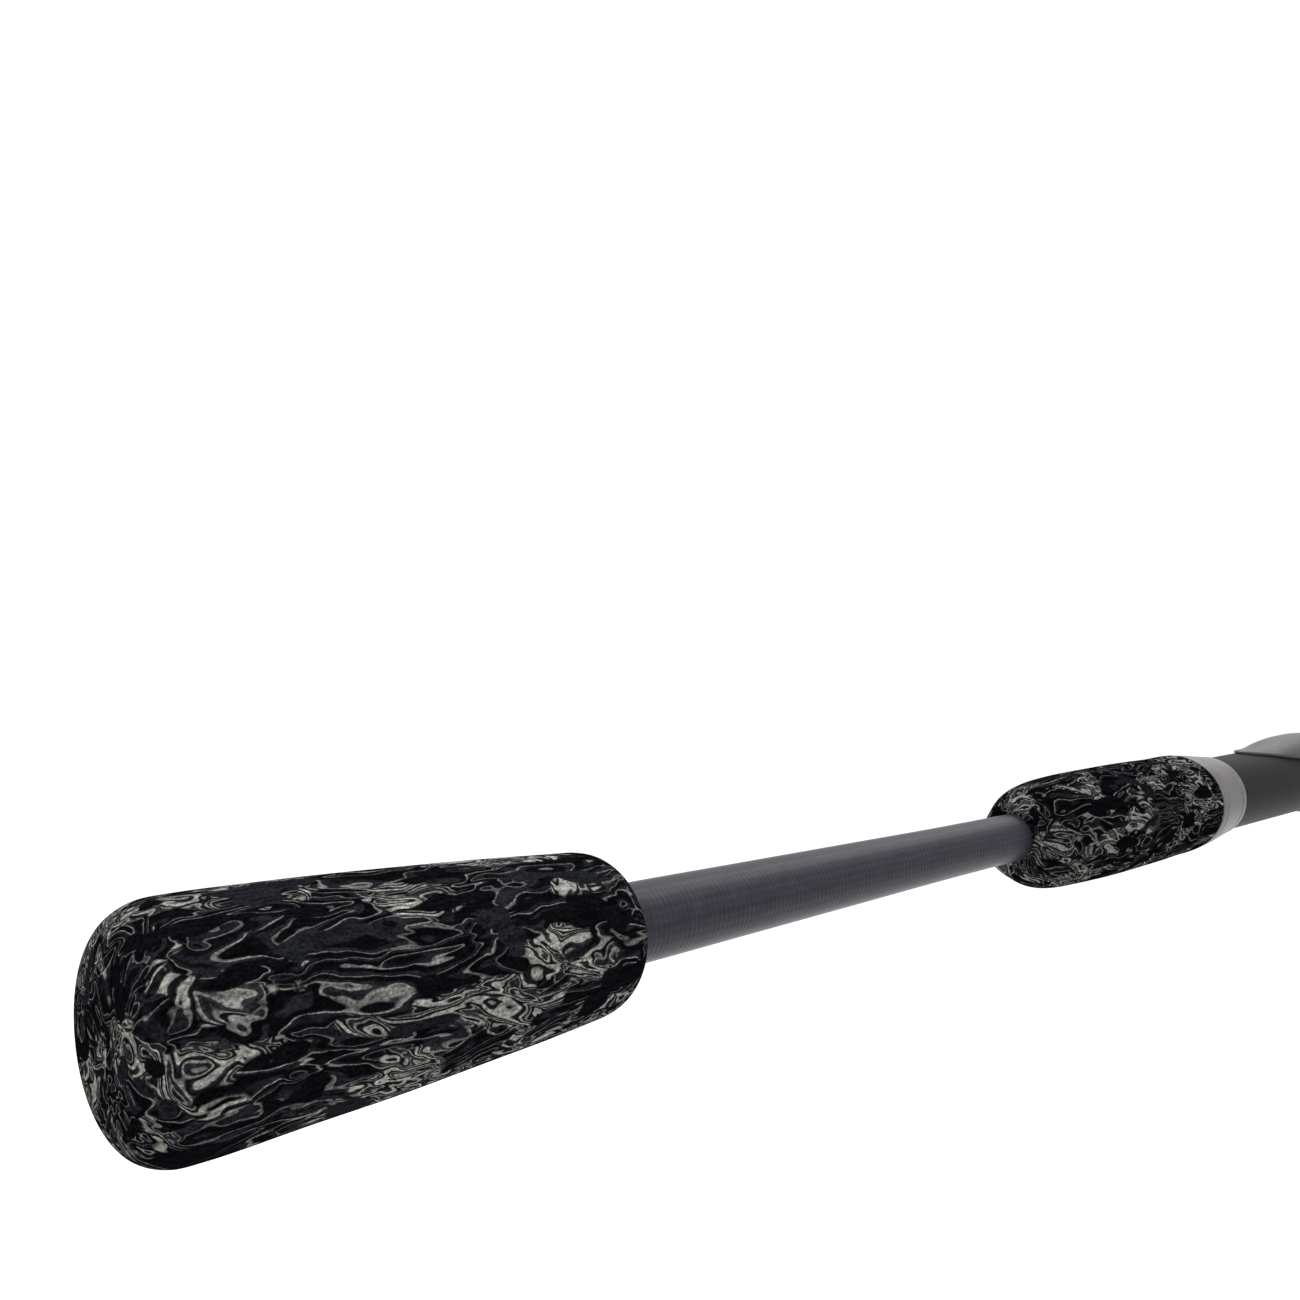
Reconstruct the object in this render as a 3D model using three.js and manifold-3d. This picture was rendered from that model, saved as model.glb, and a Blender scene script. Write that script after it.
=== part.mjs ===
// Two-piece spinning rod, millimetres.
// The axis of the blank lies along +X from the butt (x = 0) to the tip, and the
// reel seat's foot bed and the line guides face +Z. The pieces are drawn with
// that side down (-Z) and turned over about the X axis in add().
import * as THREE from 'three';
import { mergeVertices } from 'three/addons/utils/BufferGeometryUtils.js';
import Module from 'manifold-3d';

const wasm = await Module();
wasm.setup();

// ---------------------------------------------------------------- dimensions
const FIT = 0.25;                 // radial gap between glued neighbours
const SLIP = 0.10;                // ferrule's radial clearance

const BLANK_START = 9;            // the blank's rear end, inside the butt grip
const FERRULE_X = 915;            // rear edge of the tip section
const FERRULE_OVERLAP = 62;       // length of butt section inside the tip section
const MALE_END = FERRULE_X + FERRULE_OVERLAP;
const TIP_BLANK_END = 1817;

// outer radius of the butt section along its length
const BUTT_BLANK = [
  [BLANK_START, 6.45], [76, 6.28], [102.6, 5.90], [132.6, 5.44], [162.6, 5.0], [192.6, 4.82],
  [268, 4.68], [432, 4.34], [600, 3.92], [760, 3.46], [FERRULE_X - 8, 3.06], [MALE_END, 2.84],
];
const BUTT_WALL = 1.15;
// outer radius of the tip section along its length
const TIP_BLANK = [
  [FERRULE_X, 3.78], [FERRULE_X + 44, 3.66], [FERRULE_X + 66, 3.3], [FERRULE_X + 92, 2.8],
  [1180, 2.16], [1350, 1.78], [1492, 1.50], [1703, 1.02], [TIP_BLANK_END, 0.76],
];

const BUTT_GRIP_END = 75;
const REAR_GRIP = [183.4, 255.9];
const TRIM_RING = [256.2, 272.1];
// The rear grip, ring and reel seat sit this far off the blank's axis, away
// from the reel.
const SEAT_Z = 0.75;
const SEAT = [272.5, 415.1];
const BARREL_R = 9.3;             // seat's plain body, behind and under the fixed hood
const THREAD_R = 7.55;            // major radius of the seat's thread
const THREAD = [345.5, 414.3];
const SEAT_BORE = 5.95;
const BED_Z = -6.4;               // plane that the reel's foot lies on, from the seat's axis
const BED = [311.5, 384.5];
const LAND = [331.0, 357.7];      // raised land of the bed between the hoods
const NUT = [382.3, 405.5];
const NUT_R = 9.0;
const HOOD = [359, 381.5];        // sliding hood, its mouth towards the butt
const HOOD_R = 10.5;
const POCKET_W = 12.4;            // width of both foot pockets
const POCKET_R = 6.4;             // radius of their arched roof
const FIXED_HOOD = [288, 330];    // fixed hood, its mouth towards the tip
const FORE_GRIP = [415.5, 462];
const WINDING_CHECK = [462.4, 467.4];
const KEEPER_X = 488.6;

// line guides, from the butt to the tip: x of the ring's centre, height of that
// centre below the axis, ceramic ring's outer and inner radius, foot lengths
const GUIDES = [
  { name: 'guide_1', x: 748, drop: 25.5, ro: 12.2, ri: 10.1, wire: 0.95, feet: 2, foot: 17, tilt: -6 },
  { name: 'guide_2', x: 1020, drop: 17.2, ro: 7.9, ri: 6.25, wire: 0.80, feet: 2, foot: 14, tilt: -6 },
  { name: 'guide_3', x: 1262, drop: 11.4, ro: 5.5, ri: 4.15, wire: 0.66, feet: 1, foot: 15, tilt: -10 },
  { name: 'guide_4', x: 1492, drop: 8.8, ro: 4.25, ri: 2.95, wire: 0.60, feet: 1, foot: 14, tilt: -12 },
  { name: 'guide_5', x: 1703, drop: 6.9, ro: 2.95, ri: 1.95, wire: 0.52, feet: 1, foot: 11.5, tilt: -15 },
];
const TIP_RING = { x: 1824.2, drop: 4.2, ro: 3.15, ri: 2.15, tilt: 42 };

// ------------------------------------------------------------------- helpers
function solid(geometry) {
  let g = geometry.clone();
  g.deleteAttribute('normal');
  g.deleteAttribute('uv');
  g = mergeVertices(g, 1e-4);
  const pos = g.attributes.position.array;
  const idx = g.index.array;
  const keep = [];
  let volume = 0;
  for (let i = 0; i < idx.length; i += 3) {
    const [a, b, c] = [idx[i], idx[i + 1], idx[i + 2]];
    if (a === b || b === c || c === a) continue;
    keep.push(a, b, c);
    const p = (k, j) => pos[3 * k + j];
    volume += p(a, 0) * (p(b, 1) * p(c, 2) - p(b, 2) * p(c, 1))
      - p(a, 1) * (p(b, 0) * p(c, 2) - p(b, 2) * p(c, 0))
      + p(a, 2) * (p(b, 0) * p(c, 1) - p(b, 1) * p(c, 0));
  }
  if (volume < 0) for (let i = 0; i < keep.length; i += 3) [keep[i], keep[i + 1]] = [keep[i + 1], keep[i]];
  return new wasm.Manifold(new wasm.Mesh({
    numProp: 3, vertProperties: Float32Array.from(pos), triVerts: Uint32Array.from(keep),
  }));
}

function geometryOf(manifold) {
  const m = manifold.getMesh();
  const g = new THREE.BufferGeometry();
  const n = m.vertProperties.length / m.numProp;
  const p = new Float32Array(n * 3);
  for (let i = 0; i < n; i++) for (let j = 0; j < 3; j++) p[3 * i + j] = m.vertProperties[m.numProp * i + j];
  g.setAttribute('position', new THREE.BufferAttribute(p, 3));
  g.setIndex(new THREE.BufferAttribute(Uint32Array.from(m.triVerts), 1));
  g.computeVertexNormals();
  return g;
}

// solid of revolution about the X axis; the profile is a list of [x, r]
function revolve(profile, segments = 24) {
  const points = profile.map(([x, r]) => new THREE.Vector2(Math.max(r, 0), x));
  const open = profile[0][1] > 1e-6 || profile[profile.length - 1][1] > 1e-6;
  if (open) points.push(points[0].clone());
  return new THREE.LatheGeometry(points, segments).rotateZ(-Math.PI / 2);
}

// a round bar through a list of points
function bar(points, radius, { sides = 8, steps = 8, flat = 1 } = {}) {
  const v = points.map((p) => new THREE.Vector3(...p));
  const path = v.length === 2 ? new THREE.LineCurve3(v[0], v[1]) : new THREE.CatmullRomCurve3(v, false, 'centripetal');
  const shape = new THREE.Shape();
  for (let i = 0; i < sides; i++) {
    const a = (2 * Math.PI * (i + 0.5)) / sides;
    const q = [radius * Math.cos(a), radius * flat * Math.sin(a)];
    if (i === 0) shape.moveTo(...q); else shape.lineTo(...q);
  }
  shape.closePath();
  return new THREE.ExtrudeGeometry(shape, { steps: v.length === 2 ? 1 : steps, extrudePath: path, curveSegments: 1 });
}

function box(x0, x1, y0, y1, z0, z1) {
  return new THREE.BoxGeometry(x1 - x0, y1 - y0, z1 - z0).translate((x0 + x1) / 2, (y0 + y1) / 2, (z0 + z1) / 2);
}

function along(table, x) {
  if (x <= table[0][0]) return table[0][1];
  for (let i = 1; i < table.length; i++) {
    const [x0, r0] = table[i - 1];
    const [x1, r1] = table[i];
    if (x <= x1) return r0 + ((r1 - r0) * (x - x0)) / (x1 - x0);
  }
  return table[table.length - 1][1];
}

// the blank's outer profile between two stations, larger by grow
function blankRun(table, x0, x1, grow) {
  const run = [[x0, along(table, x0) + grow]];
  for (const [x, r] of table) if (x > x0 && x < x1) run.push([x, r + grow]);
  run.push([x1, along(table, x1) + grow]);
  return run;
}

// sleeve with an outer profile and a bore that follows the blank
function sleeve(outer, table, grow, segments) {
  const x0 = outer[0][0];
  const x1 = outer[outer.length - 1][0];
  return revolve([...outer, ...blankRun(table, x0, x1, grow).reverse()], segments);
}

const root = new THREE.Group();

function add(name, geometry, color, roughness, metalness = 0) {
  const mesh = new THREE.Mesh(geometry.rotateX(Math.PI), new THREE.MeshStandardMaterial({ color, roughness, metalness }));
  mesh.name = name;
  root.add(mesh);
  return mesh;
}

const CAMO = 0x3b3d3a;
const CARBON = 0x3d3d42;
const GLOSS_BLACK = 0x0c0c0e;
const GUNMETAL = 0x33353a;
const SILVER = 0xb4b3ae;
const CERAMIC = 0x101012;

// --------------------------------------------------------------------- blank
{
  const outer = BUTT_BLANK;
  const inner = outer.map(([x, r]) => [x, r - BUTT_WALL]);
  add('butt_blank', geometryOf(solid(revolve([...outer, ...inner.reverse()], 12))), CARBON, 0.5);
}
{
  // the female ferrule takes the butt section's end, then the bore narrows
  const socket = [
    [FERRULE_X, along(BUTT_BLANK, FERRULE_X) + SLIP],
    [MALE_END + 1.5, along(BUTT_BLANK, MALE_END) + SLIP - 0.02],
  ];
  const bore = [...socket, [MALE_END + 6, 2.05], [1180, 1.45], [1492, 0.8], [1700, 0.45], [1702, 0]];
  add('tip_blank', geometryOf(solid(revolve([...bore.slice().reverse(), ...TIP_BLANK, [TIP_BLANK_END, 0]], 12))), CARBON, 0.5);
}
// end plug that closes the blank's bore at the butt
add('blank_end_plug', geometryOf(solid(revolve([
  [8.5, 0], [8.5, 5.6], [6.4, 5.6], [6.4, 0],
], 12))), 0x6b5a45, 0.8);

// --------------------------------------------------------------------- grips
// sleeve whose outside is off the blank's axis by SEAT_Z
function offsetSleeve(outer, segments) {
  const x0 = outer[0][0];
  const x1 = outer[outer.length - 1][0];
  const body = solid(revolve([[x0, 0], ...outer, [x1, 0]], segments)).translate([0, 0, SEAT_Z]);
  return body.subtract(solid(revolve([[x0 - 1, 0], ...blankRun(BUTT_BLANK, x0 - 1, x1 + 1, FIT), [x1 + 1, 0]], segments)));
}
{
  const outer = [
    [0, 0], [0, 8.4], [0.7, 11.4], [2.4, 13.8], [5.2, 15.2], [9.1, 15.45],
    [22.6, 15.03], [34.6, 14.57], [42.6, 14.13], [50.6, 13.6], [58.6, 13.05], [66.6, 12.43],
    [69.1, 12.2], [71.2, 11.65], [73.0, 10.5], [74.2, 9.0], [BUTT_GRIP_END, 7.0],
  ];
  const bore = blankRun(BUTT_BLANK, BLANK_START - 3, BUTT_GRIP_END, FIT);
  add('butt_grip', geometryOf(solid(revolve([...outer, ...bore.reverse(), [BLANK_START - 3, 0]], 20))), CAMO, 0.85);
}
add('rear_grip', geometryOf(offsetSleeve([
  [REAR_GRIP[0], 6.6], [184.8, 7.9], [188.6, 9.75], [190.6, 10.65], [194.6, 11.35], [202.6, 11.82],
  [218.6, 12.1], [234.6, 11.95], [244.6, 11.75], [REAR_GRIP[1], 11.5],
], 20)), CAMO, 0.85);
add('fore_grip', geometryOf(solid(sleeve([
  [FORE_GRIP[0], 9.9], [419.1, 10.35], [428, 10.2], [440, 9.4], [453, 7.95], [460, 6.9], [FORE_GRIP[1], 5.9],
], BUTT_BLANK, FIT, 20))), CAMO, 0.85);

// --------------------------------------------------- trim ring and reel seat
add('trim_ring', geometryOf(offsetSleeve([
  [TRIM_RING[0], 11.1], [256.9, 11.4], [260, 11.2], [264, 10.7], [268, 10.25], [TRIM_RING[1], 9.85],
], 20)), SILVER, 0.3, 1);

for (const [name, x0, x1] of [['seat_arbor_rear', 278, 300], ['seat_arbor_front', 388, 410]]) {
  const tube = solid(revolve([[x0, 0], [x0, SEAT_BORE - 0.12], [x1, SEAT_BORE - 0.12], [x1, 0]], 20)).translate([0, 0, SEAT_Z]);
  const bore = solid(revolve([[x0 - 1, 0], ...blankRun(BUTT_BLANK, x0 - 1, x1 + 1, 0.09), [x1 + 1, 0]], 20));
  add(name, geometryOf(tube.subtract(bore)), 0x8d8a80, 0.9);
}
// a seat part: built round the X axis, then moved to the seat's own axis
const onSeat = (manifold) => geometryOf(manifold.translate([0, 0, SEAT_Z]));
{
  let body = solid(revolve([
    [SEAT[0], BARREL_R - 0.5], [SEAT[0] + 0.6, BARREL_R], [THREAD[0] - 0.8, BARREL_R], [THREAD[0], THREAD_R],
    [THREAD[1], THREAD_R], [SEAT[1], 7.0], [SEAT[1], SEAT_BORE], [SEAT[0], SEAT_BORE],
  ], 20));
  // flat bed for the reel's foot, and the keyway that stops the hood turning
  body = body.subtract(solid(box(BED[0], BED[1], -12, 12, -14, BED_Z)));
  body = body.subtract(solid(box(BED[0], LAND[0], -12, 12, -14, BED_Z + 0.3)));
  body = body.subtract(solid(box(LAND[1], BED[1], -12, 12, -14, BED_Z + 0.3)));
  body = body.subtract(solid(box(THREAD[0], 412.9, -1.6, 1.6, 6.7, 10)));
  add('seat_body', onSeat(body), 0x1b1b1e, 0.55);
}
{
  // lock nut, a grip ring with a smooth collar towards the hood
  const nut = solid(revolve([
    [NUT[0], 8.4], [382.9, 8.72], [387.1, 8.72], [387.9, NUT_R], [403.5, NUT_R], [404.9, 8.75], [NUT[1], 8.2],
    [NUT[1], THREAD_R + 0.25], [NUT[0], THREAD_R + 0.25],
  ], 20));
  add('lock_nut', onSeat(nut), 0x232326, 0.45);
}
// Bulge on the foot's side of a hood: a round body 1.2 times as wide as high
// whose lowest point is at the radius given in the profile.
function bulge(profile) {
  const q = profile.map(([x, r]) => [x, Math.max(r - 4.6, 0)]);
  return solid(revolve([[q[0][0], 0], ...q, [q[q.length - 1][0], 0]], 20).scale(1, 1.2, 1).translate(0, 0, -4.6));
}
// room for one end of the reel's foot, with a roof arched like the bulge
function pocket(x0, x1) {
  const arch = revolve([[x0, 0], [x0, POCKET_R], [x1, POCKET_R], [x1, 0]], 20).scale(1, 1.2, 1).translate(0, 0, -4.6);
  return solid(arch).intersect(solid(box(x0, x1, -POCKET_W / 2, POCKET_W / 2, -12, -4)));
}
{
  const [x0, x1] = HOOD;
  let hood = solid(revolve([
    [x0, 0], [x0, 9.7], [x0 + 0.6, 10.2], [x0 + 3, HOOD_R], [x1 - 3.6, HOOD_R], [x1 - 1, 10.1], [x1, 8.9], [x1, 0],
  ], 20));
  hood = hood.add(bulge([[x0, 11.5], [x0 + 0.6, 11.85], [x0 + 3, 12.1], [x1 - 5.5, 12.1], [x1 - 2.5, 11.2], [x1, 9.4]]));
  hood = hood.subtract(solid(revolve([[x0 - 2, 0], [x0 - 2, THREAD_R + 0.3], [x1 + 2, THREAD_R + 0.3], [x1 + 2, 0]], 20)));
  hood = hood.subtract(pocket(x0 - 2, 377.5));
  // key that runs in the seat's keyway
  hood = hood.add(solid(box(x0 + 1, x1 - 1, -1.3, 1.3, 7.0, 8.6)));
  add('sliding_hood', onSeat(hood), SILVER, 0.32, 1);
}
{
  // The fixed hood is a shell on the seat's body. A tongue of it reaches back
  // over the foot's side, and the rest of its rear edge is cut square.
  const [x0, x1] = FIXED_HOOD;
  let hood = solid(revolve([[x0, 0], [x0, 10.0], [x1 - 0.6, 10.2], [x1, 9.9], [x1, 0]], 20));
  hood = hood.add(bulge([
    [x0, 8.9], [294.6, 9.6], [300.6, 10.35], [306.6, 11.15], [310.6, 11.55], [316.6, 11.9], [324.6, 12.0], [x1 - 0.6, 11.8], [x1, 11.5],
  ]));
  const skirt = new THREE.Shape([[x0 - 1, -10.2], [288.4, -10.1], [322, -6], [325.5, -3], [327, 13], [x0 - 1, 13]].map((q) => new THREE.Vector2(...q)));
  const cutter = new THREE.ExtrudeGeometry(skirt, { depth: 30, bevelEnabled: false }).translate(0, 0, -15).rotateX(Math.PI / 2);
  hood = hood.subtract(solid(cutter));
  hood = hood.subtract(solid(revolve([[x0 - 2, 0], [x0 - 2, BARREL_R + 0.12], [x1 + 2, BARREL_R + 0.12], [x1 + 2, 0]], 20)));
  hood = hood.subtract(pocket(BED[0], x1 + 2));
  add('fixed_hood', onSeat(hood), SILVER, 0.32, 1);
}
add('winding_check', geometryOf(solid(sleeve([
  [WINDING_CHECK[0], 6.2], [463.2, 6.7], [465, 6.55], [466.4, 5.7], [WINDING_CHECK[1], 5.1],
], BUTT_BLANK, FIT, 20))), SILVER, 0.3, 1);

// ------------------------------------------------- thread wraps and keepers
// A wrap is a sleeve over the blank with a rise on the guide's side, cut out
// for the foot that it binds.
function wrap(name, table, x0, x1, feet, { thick = 0.5, rise = 0 } = {}) {
  const e = Math.min(2.2, (x1 - x0) * 0.2);
  const r0 = along(table, x0);
  const r1 = along(table, x1);
  let body = solid(revolve([
    [x0, 0], [x0, r0 + 0.16], [x0 + e, along(table, x0 + e) + thick],
    [x1 - e, along(table, x1 - e) + thick], [x1, r1 + 0.16], [x1, 0],
  ], 12));
  if (rise > 0) {
    const rm = along(table, (x0 + x1) / 2);
    const hump = revolve([
      [x0 + e * 0.5, 0], [x0 + 2 * e, rm * 0.5 + rise * 0.35], [x0 + 3.4 * e, rm * 0.62 + rise * 0.75],
      [x1 - 1.2 * e, rm * 0.62 + rise * 0.75], [x1 - 0.2, rm * 0.5 + rise * 0.5], [x1 - 0.2, 0],
    ], 10).translate(0, 0, -(rm * 0.55 + rise * 0.42));
    body = body.add(solid(hump));
  }
  body = body.subtract(solid(revolve([[x0 - 1, 0], [x0 - 1, r0 + 0.1], [x1 + 1, along(table, x1) + 0.1], [x1 + 1, 0]], 12)));
  // follow the blank's own taper inside
  body = body.subtract(solid(revolve([[x0 - 1, 0], ...blankRun(table, x0 - 1, x1 + 1, 0.1), [x1 + 1, 0]], 12)));
  for (const f of feet) body = body.subtract(f);
  add(name, geometryOf(body), GLOSS_BLACK, 0.15);
}

function ringProfile(ro, ri, half) {
  return [
    [-half, ro], [half, ro], [half, (ro + ri) / 2],
    [half * 0.45, ri], [-half * 0.45, ri], [-half, (ro + ri) / 2],
  ];
}

function guide(g, table, frameColor) {
  const { name, x, drop, ro, ri, wire, feet, foot, tilt } = g;
  const t = THREE.MathUtils.degToRad(tilt);
  const place = (geo) => geo.rotateY(t).translate(x, 0, -drop);
  const segs = ro > 7 ? 20 : 16;
  const half = Math.max(0.75, ro * 0.13);
  add(name + '_ring', place(revolve(ringProfile(ro, ri, half), segs)), CERAMIC, 0.12);
  const h0 = ro + 0.2;
  const h1 = ro + 0.2 + wire;
  const hh = half + 0.1;
  let frame = solid(place(revolve([[-hh, h0], [-hh, h1 - 0.1], [0, h1], [hh, h1 - 0.1], [hh, h0]], segs)));
  const hm = (h0 + h1) / 2;
  const onHoop = (angle, dx = 0) => {
    // angle from the top of the hoop, towards +Y
    const y = hm * Math.sin(angle);
    const z = hm * Math.cos(angle);
    return [x + dx + z * Math.sin(t), y, -drop + z * Math.cos(t)];
  };
  const legStart = x - (feet === 2 ? ro * 1.35 + 1.2 : ro * 0.75 + 1.5);
  const rbRear = along(table, legStart - foot / 2);
  const footTop = -(along(table, legStart - foot) + 0.22);
  const fh = wire * 1.05;
  const fw = wire * 1.5;
  const feetSolids = [];
  const rearFoot = box(legStart - foot, legStart + 0.6, -fw, fw, footTop - fh, footTop);
  frame = frame.add(solid(rearFoot));
  feetSolids.push(solid(box(legStart - foot - 0.3, legStart + 40, -fw - 0.15, fw + 0.15, footTop - fh - 0.15, footTop + 3)));
  const a = feet === 2 ? 1.15 : 1.25;
  for (const side of [-1, 1]) {
    const end = onHoop(side * a);
    frame = frame.add(solid(bar([
      [legStart - 0.6, side * fw * 0.5, footTop - fh * 0.5],
      [legStart + (end[0] - legStart) * 0.4, side * (fw * 0.5 + Math.abs(end[1]) * 0.32), footTop - fh * 0.5 + (end[2] - footTop) * 0.22],
      [legStart + (end[0] - legStart) * 0.78, end[1] * 0.86, footTop + (end[2] - footTop) * 0.68],
      end,
    ], wire * 0.62, { sides: 6, steps: 5 })));
  }
  const spans = [[legStart - foot - 4.5, legStart - 1.35]];
  if (feet === 2) {
    const front = x + ro * 1.0 + 1.5;
    const top = -(along(table, front) + 0.22);
    frame = frame.add(solid(box(front - 0.6, front + foot, -fw, fw, top - fh, top)));
    feetSolids.push(solid(box(front - 40, front + foot + 0.3, -fw - 0.15, fw + 0.15, top - fh - 0.15, top + 3)));
    for (const side of [-1, 1]) {
      const end = onHoop(side * 0.42);
      frame = frame.add(solid(bar([
        [front + 0.4, side * fw * 0.5, top - fh * 0.5],
        [(front + end[0]) / 2, end[1] * 0.7, (top + end[2]) / 2 - 0.6],
        end,
      ], wire * 0.58, { sides: 6, steps: 4 })));
    }
    spans.push([front + 1.35, front + foot + 4.5]);
  }
  add(name + '_frame', geometryOf(frame), frameColor, 0.3, 0.6);
  spans.forEach(([a0, a1], i) => {
    const label = spans.length === 1 ? name + '_wrap' : `${name}_wrap_${i ? 'front' : 'rear'}`;
    wrapFoot(label, table, a0, a1, i === 0, feetSolids[i], fh);
  });
}

// wrap over one foot; rear is true where the frame leaves at the wrap's +X end
function wrapFoot(name, table, x0, x1, rear, footCut, fh) {
  const thick = 0.42;
  const xa = rear ? x0 : x1;
  const xb = rear ? x1 : x0;
  const s = Math.sign(xb - xa);
  const R = (x) => along(table, x);
  const e = 1.6 * s;
  const order = (p) => (s > 0 ? p : p.slice().reverse());
  let body = solid(revolve(order([
    [xa, 0], [xa, R(xa) + 0.14], [xa + e, R(xa + e) + thick], [xb - e * 0.5, R(xb - e * 0.5) + thick], [xb, R(xb) + 0.3], [xb, 0],
  ]), 16));
  const rm = (R(xa) + R(xb)) / 2;
  const rise = fh + 0.35;
  const hump = revolve(order([
    [xa + e * 0.8, 0], [xa + e * 2.4, rm * 0.45 + rise * 0.45], [xa + e * 4, rm * 0.6 + rise * 0.8],
    [xb - e * 0.8, rm * 0.6 + rise * 0.85], [xb - 0.1 * s, rm * 0.55 + rise * 0.6], [xb - 0.1 * s, 0],
  ]), 14).translate(0, 0, -(rm * 0.62 + rise * 0.42));
  body = body.add(solid(hump));
  body = body.subtract(solid(revolve([[x0 - 1, 0], ...blankRun(table, x0 - 1, x1 + 1, 0.1), [x1 + 1, 0]], 12)));
  body = body.subtract(footCut);
  add(name, geometryOf(body), GLOSS_BLACK, 0.15);
}

// hook keeper, a wire arch with a foot at each end
{
  const R = along(BUTT_BLANK, KEEPER_X);
  const z0 = -(R + 0.22 + 0.4);
  const k = KEEPER_X;
  const keeper = solid(bar([
    [k - 13.1, 0, z0], [k - 5.6, 0, z0], [k - 3.2, 0, z0 - 1.4], [k, 0, z0 - 3.3], [k + 3.2, 0, z0 - 1.4], [k + 5.6, 0, z0], [k + 13.1, 0, z0],
  ], 0.4, { sides: 6, steps: 14 }));
  add('hook_keeper', geometryOf(keeper), GUNMETAL, 0.3, 0.8);
  const cut = solid(box(k - 13.6, k + 13.6, -0.6, 0.6, z0 - 0.55, z0 + 2));
  wrapFoot('keeper_wrap_rear', BUTT_BLANK, k - 16.6, k - 5.4, true, cut, 0.8);
  wrapFoot('keeper_wrap_front', BUTT_BLANK, k + 5.4, k + 16.6, false, cut, 0.8);
}
wrap('butt_ferrule_wrap', BUTT_BLANK, 872, 903, [], { thick: 0.42 });
wrap('tip_ferrule_wrap', TIP_BLANK, FERRULE_X + 1.2, FERRULE_X + 40, [], { thick: 0.42 });

// -------------------------------------------------------------------- guides
guide(GUIDES[0], BUTT_BLANK, GUNMETAL);
for (const g of GUIDES.slice(1)) guide(g, TIP_BLANK, GUNMETAL);

// ------------------------------------------------------------------- tip-top
{
  const { x, drop, ro, ri, tilt } = TIP_RING;
  const t = THREE.MathUtils.degToRad(tilt);
  const place = (geo) => geo.rotateY(t).translate(x, 0, -drop);
  add('tip_top_ring', place(revolve(ringProfile(ro, ri, 0.8), 16)), CERAMIC, 0.12);
  let frame = solid(place(revolve([[-0.9, ro + 0.18], [-0.9, ro + 0.55], [0, ro + 0.7], [0.9, ro + 0.55], [0.9, ro + 0.18]], 16)));
  // tube that the tip of the blank is glued into
  const tubeRear = 1806.2;
  const tubeFront = 1818.6;
  frame = frame.add(solid(revolve([
    [tubeRear, 0], [tubeRear, 1.28], [tubeFront - 0.5, 1.22], [tubeFront, 0.9], [tubeFront, 0],
  ], 12)));
  // a point on the hoop: angle from its top, radius, offset along its axis
  const onHoop = (a, r, k = 0) => [
    x + r * Math.cos(a) * Math.sin(t) + k * Math.cos(t), r * Math.sin(a),
    -drop + r * Math.cos(a) * Math.cos(t) - k * Math.sin(t),
  ];
  for (const side of [-1, 1]) {
    // long leg from under the tube to the lower side of the hoop
    frame = frame.add(solid(bar([
      [1811.0, side * 0.7, -0.95], [1814.8, side * 1.3, -3.0], [1818.4, side * 2.0, -5.0], onHoop(side * 2.25, ro + 0.5, -0.2),
    ], 0.36, { sides: 5, steps: 5 })));
    // short strut from the end of the tube to the top of the hoop
    frame = frame.add(solid(bar([
      [1817.0, side * 0.55, -0.1], [1819.9, side * 1.4, -0.3], [1822.6, side * 0.85, -0.45], [1824.4, side * 0.8, -0.55],
      onHoop(side * 0.24, ro + 0.68, -0.4),
    ], 0.34, { sides: 5, steps: 6 })));
  }
  frame = frame.subtract(solid(revolve([
    [tubeRear - 1, 0], [tubeRear - 1, along(TIP_BLANK, tubeRear) + 0.14], [TIP_BLANK_END + 0.4, 0.9], [TIP_BLANK_END + 0.4, 0],
  ], 12)));
  add('tip_top_frame', geometryOf(frame), 0xb9b9b6, 0.22, 1);
  wrap('tip_top_wrap', TIP_BLANK, 1795, 1805.9, [], { thick: 0.5 });
}

export default root;
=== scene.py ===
import math

import bmesh
import bpy
import numpy as np
from mathutils import Matrix, Vector


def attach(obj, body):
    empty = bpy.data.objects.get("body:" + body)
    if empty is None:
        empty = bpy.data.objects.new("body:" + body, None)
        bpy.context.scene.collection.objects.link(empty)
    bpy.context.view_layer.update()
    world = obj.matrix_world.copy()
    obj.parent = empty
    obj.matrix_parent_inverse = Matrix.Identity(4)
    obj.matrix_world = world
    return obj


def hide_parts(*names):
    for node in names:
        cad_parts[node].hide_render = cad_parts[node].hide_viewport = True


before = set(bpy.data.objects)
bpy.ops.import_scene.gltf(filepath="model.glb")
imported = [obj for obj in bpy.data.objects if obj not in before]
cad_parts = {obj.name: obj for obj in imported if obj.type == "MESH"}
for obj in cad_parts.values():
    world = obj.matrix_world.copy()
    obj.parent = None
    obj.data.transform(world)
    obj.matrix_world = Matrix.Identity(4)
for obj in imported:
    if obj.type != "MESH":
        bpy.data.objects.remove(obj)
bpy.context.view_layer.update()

MM = 0.001
TAU = 2 * math.pi

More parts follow.
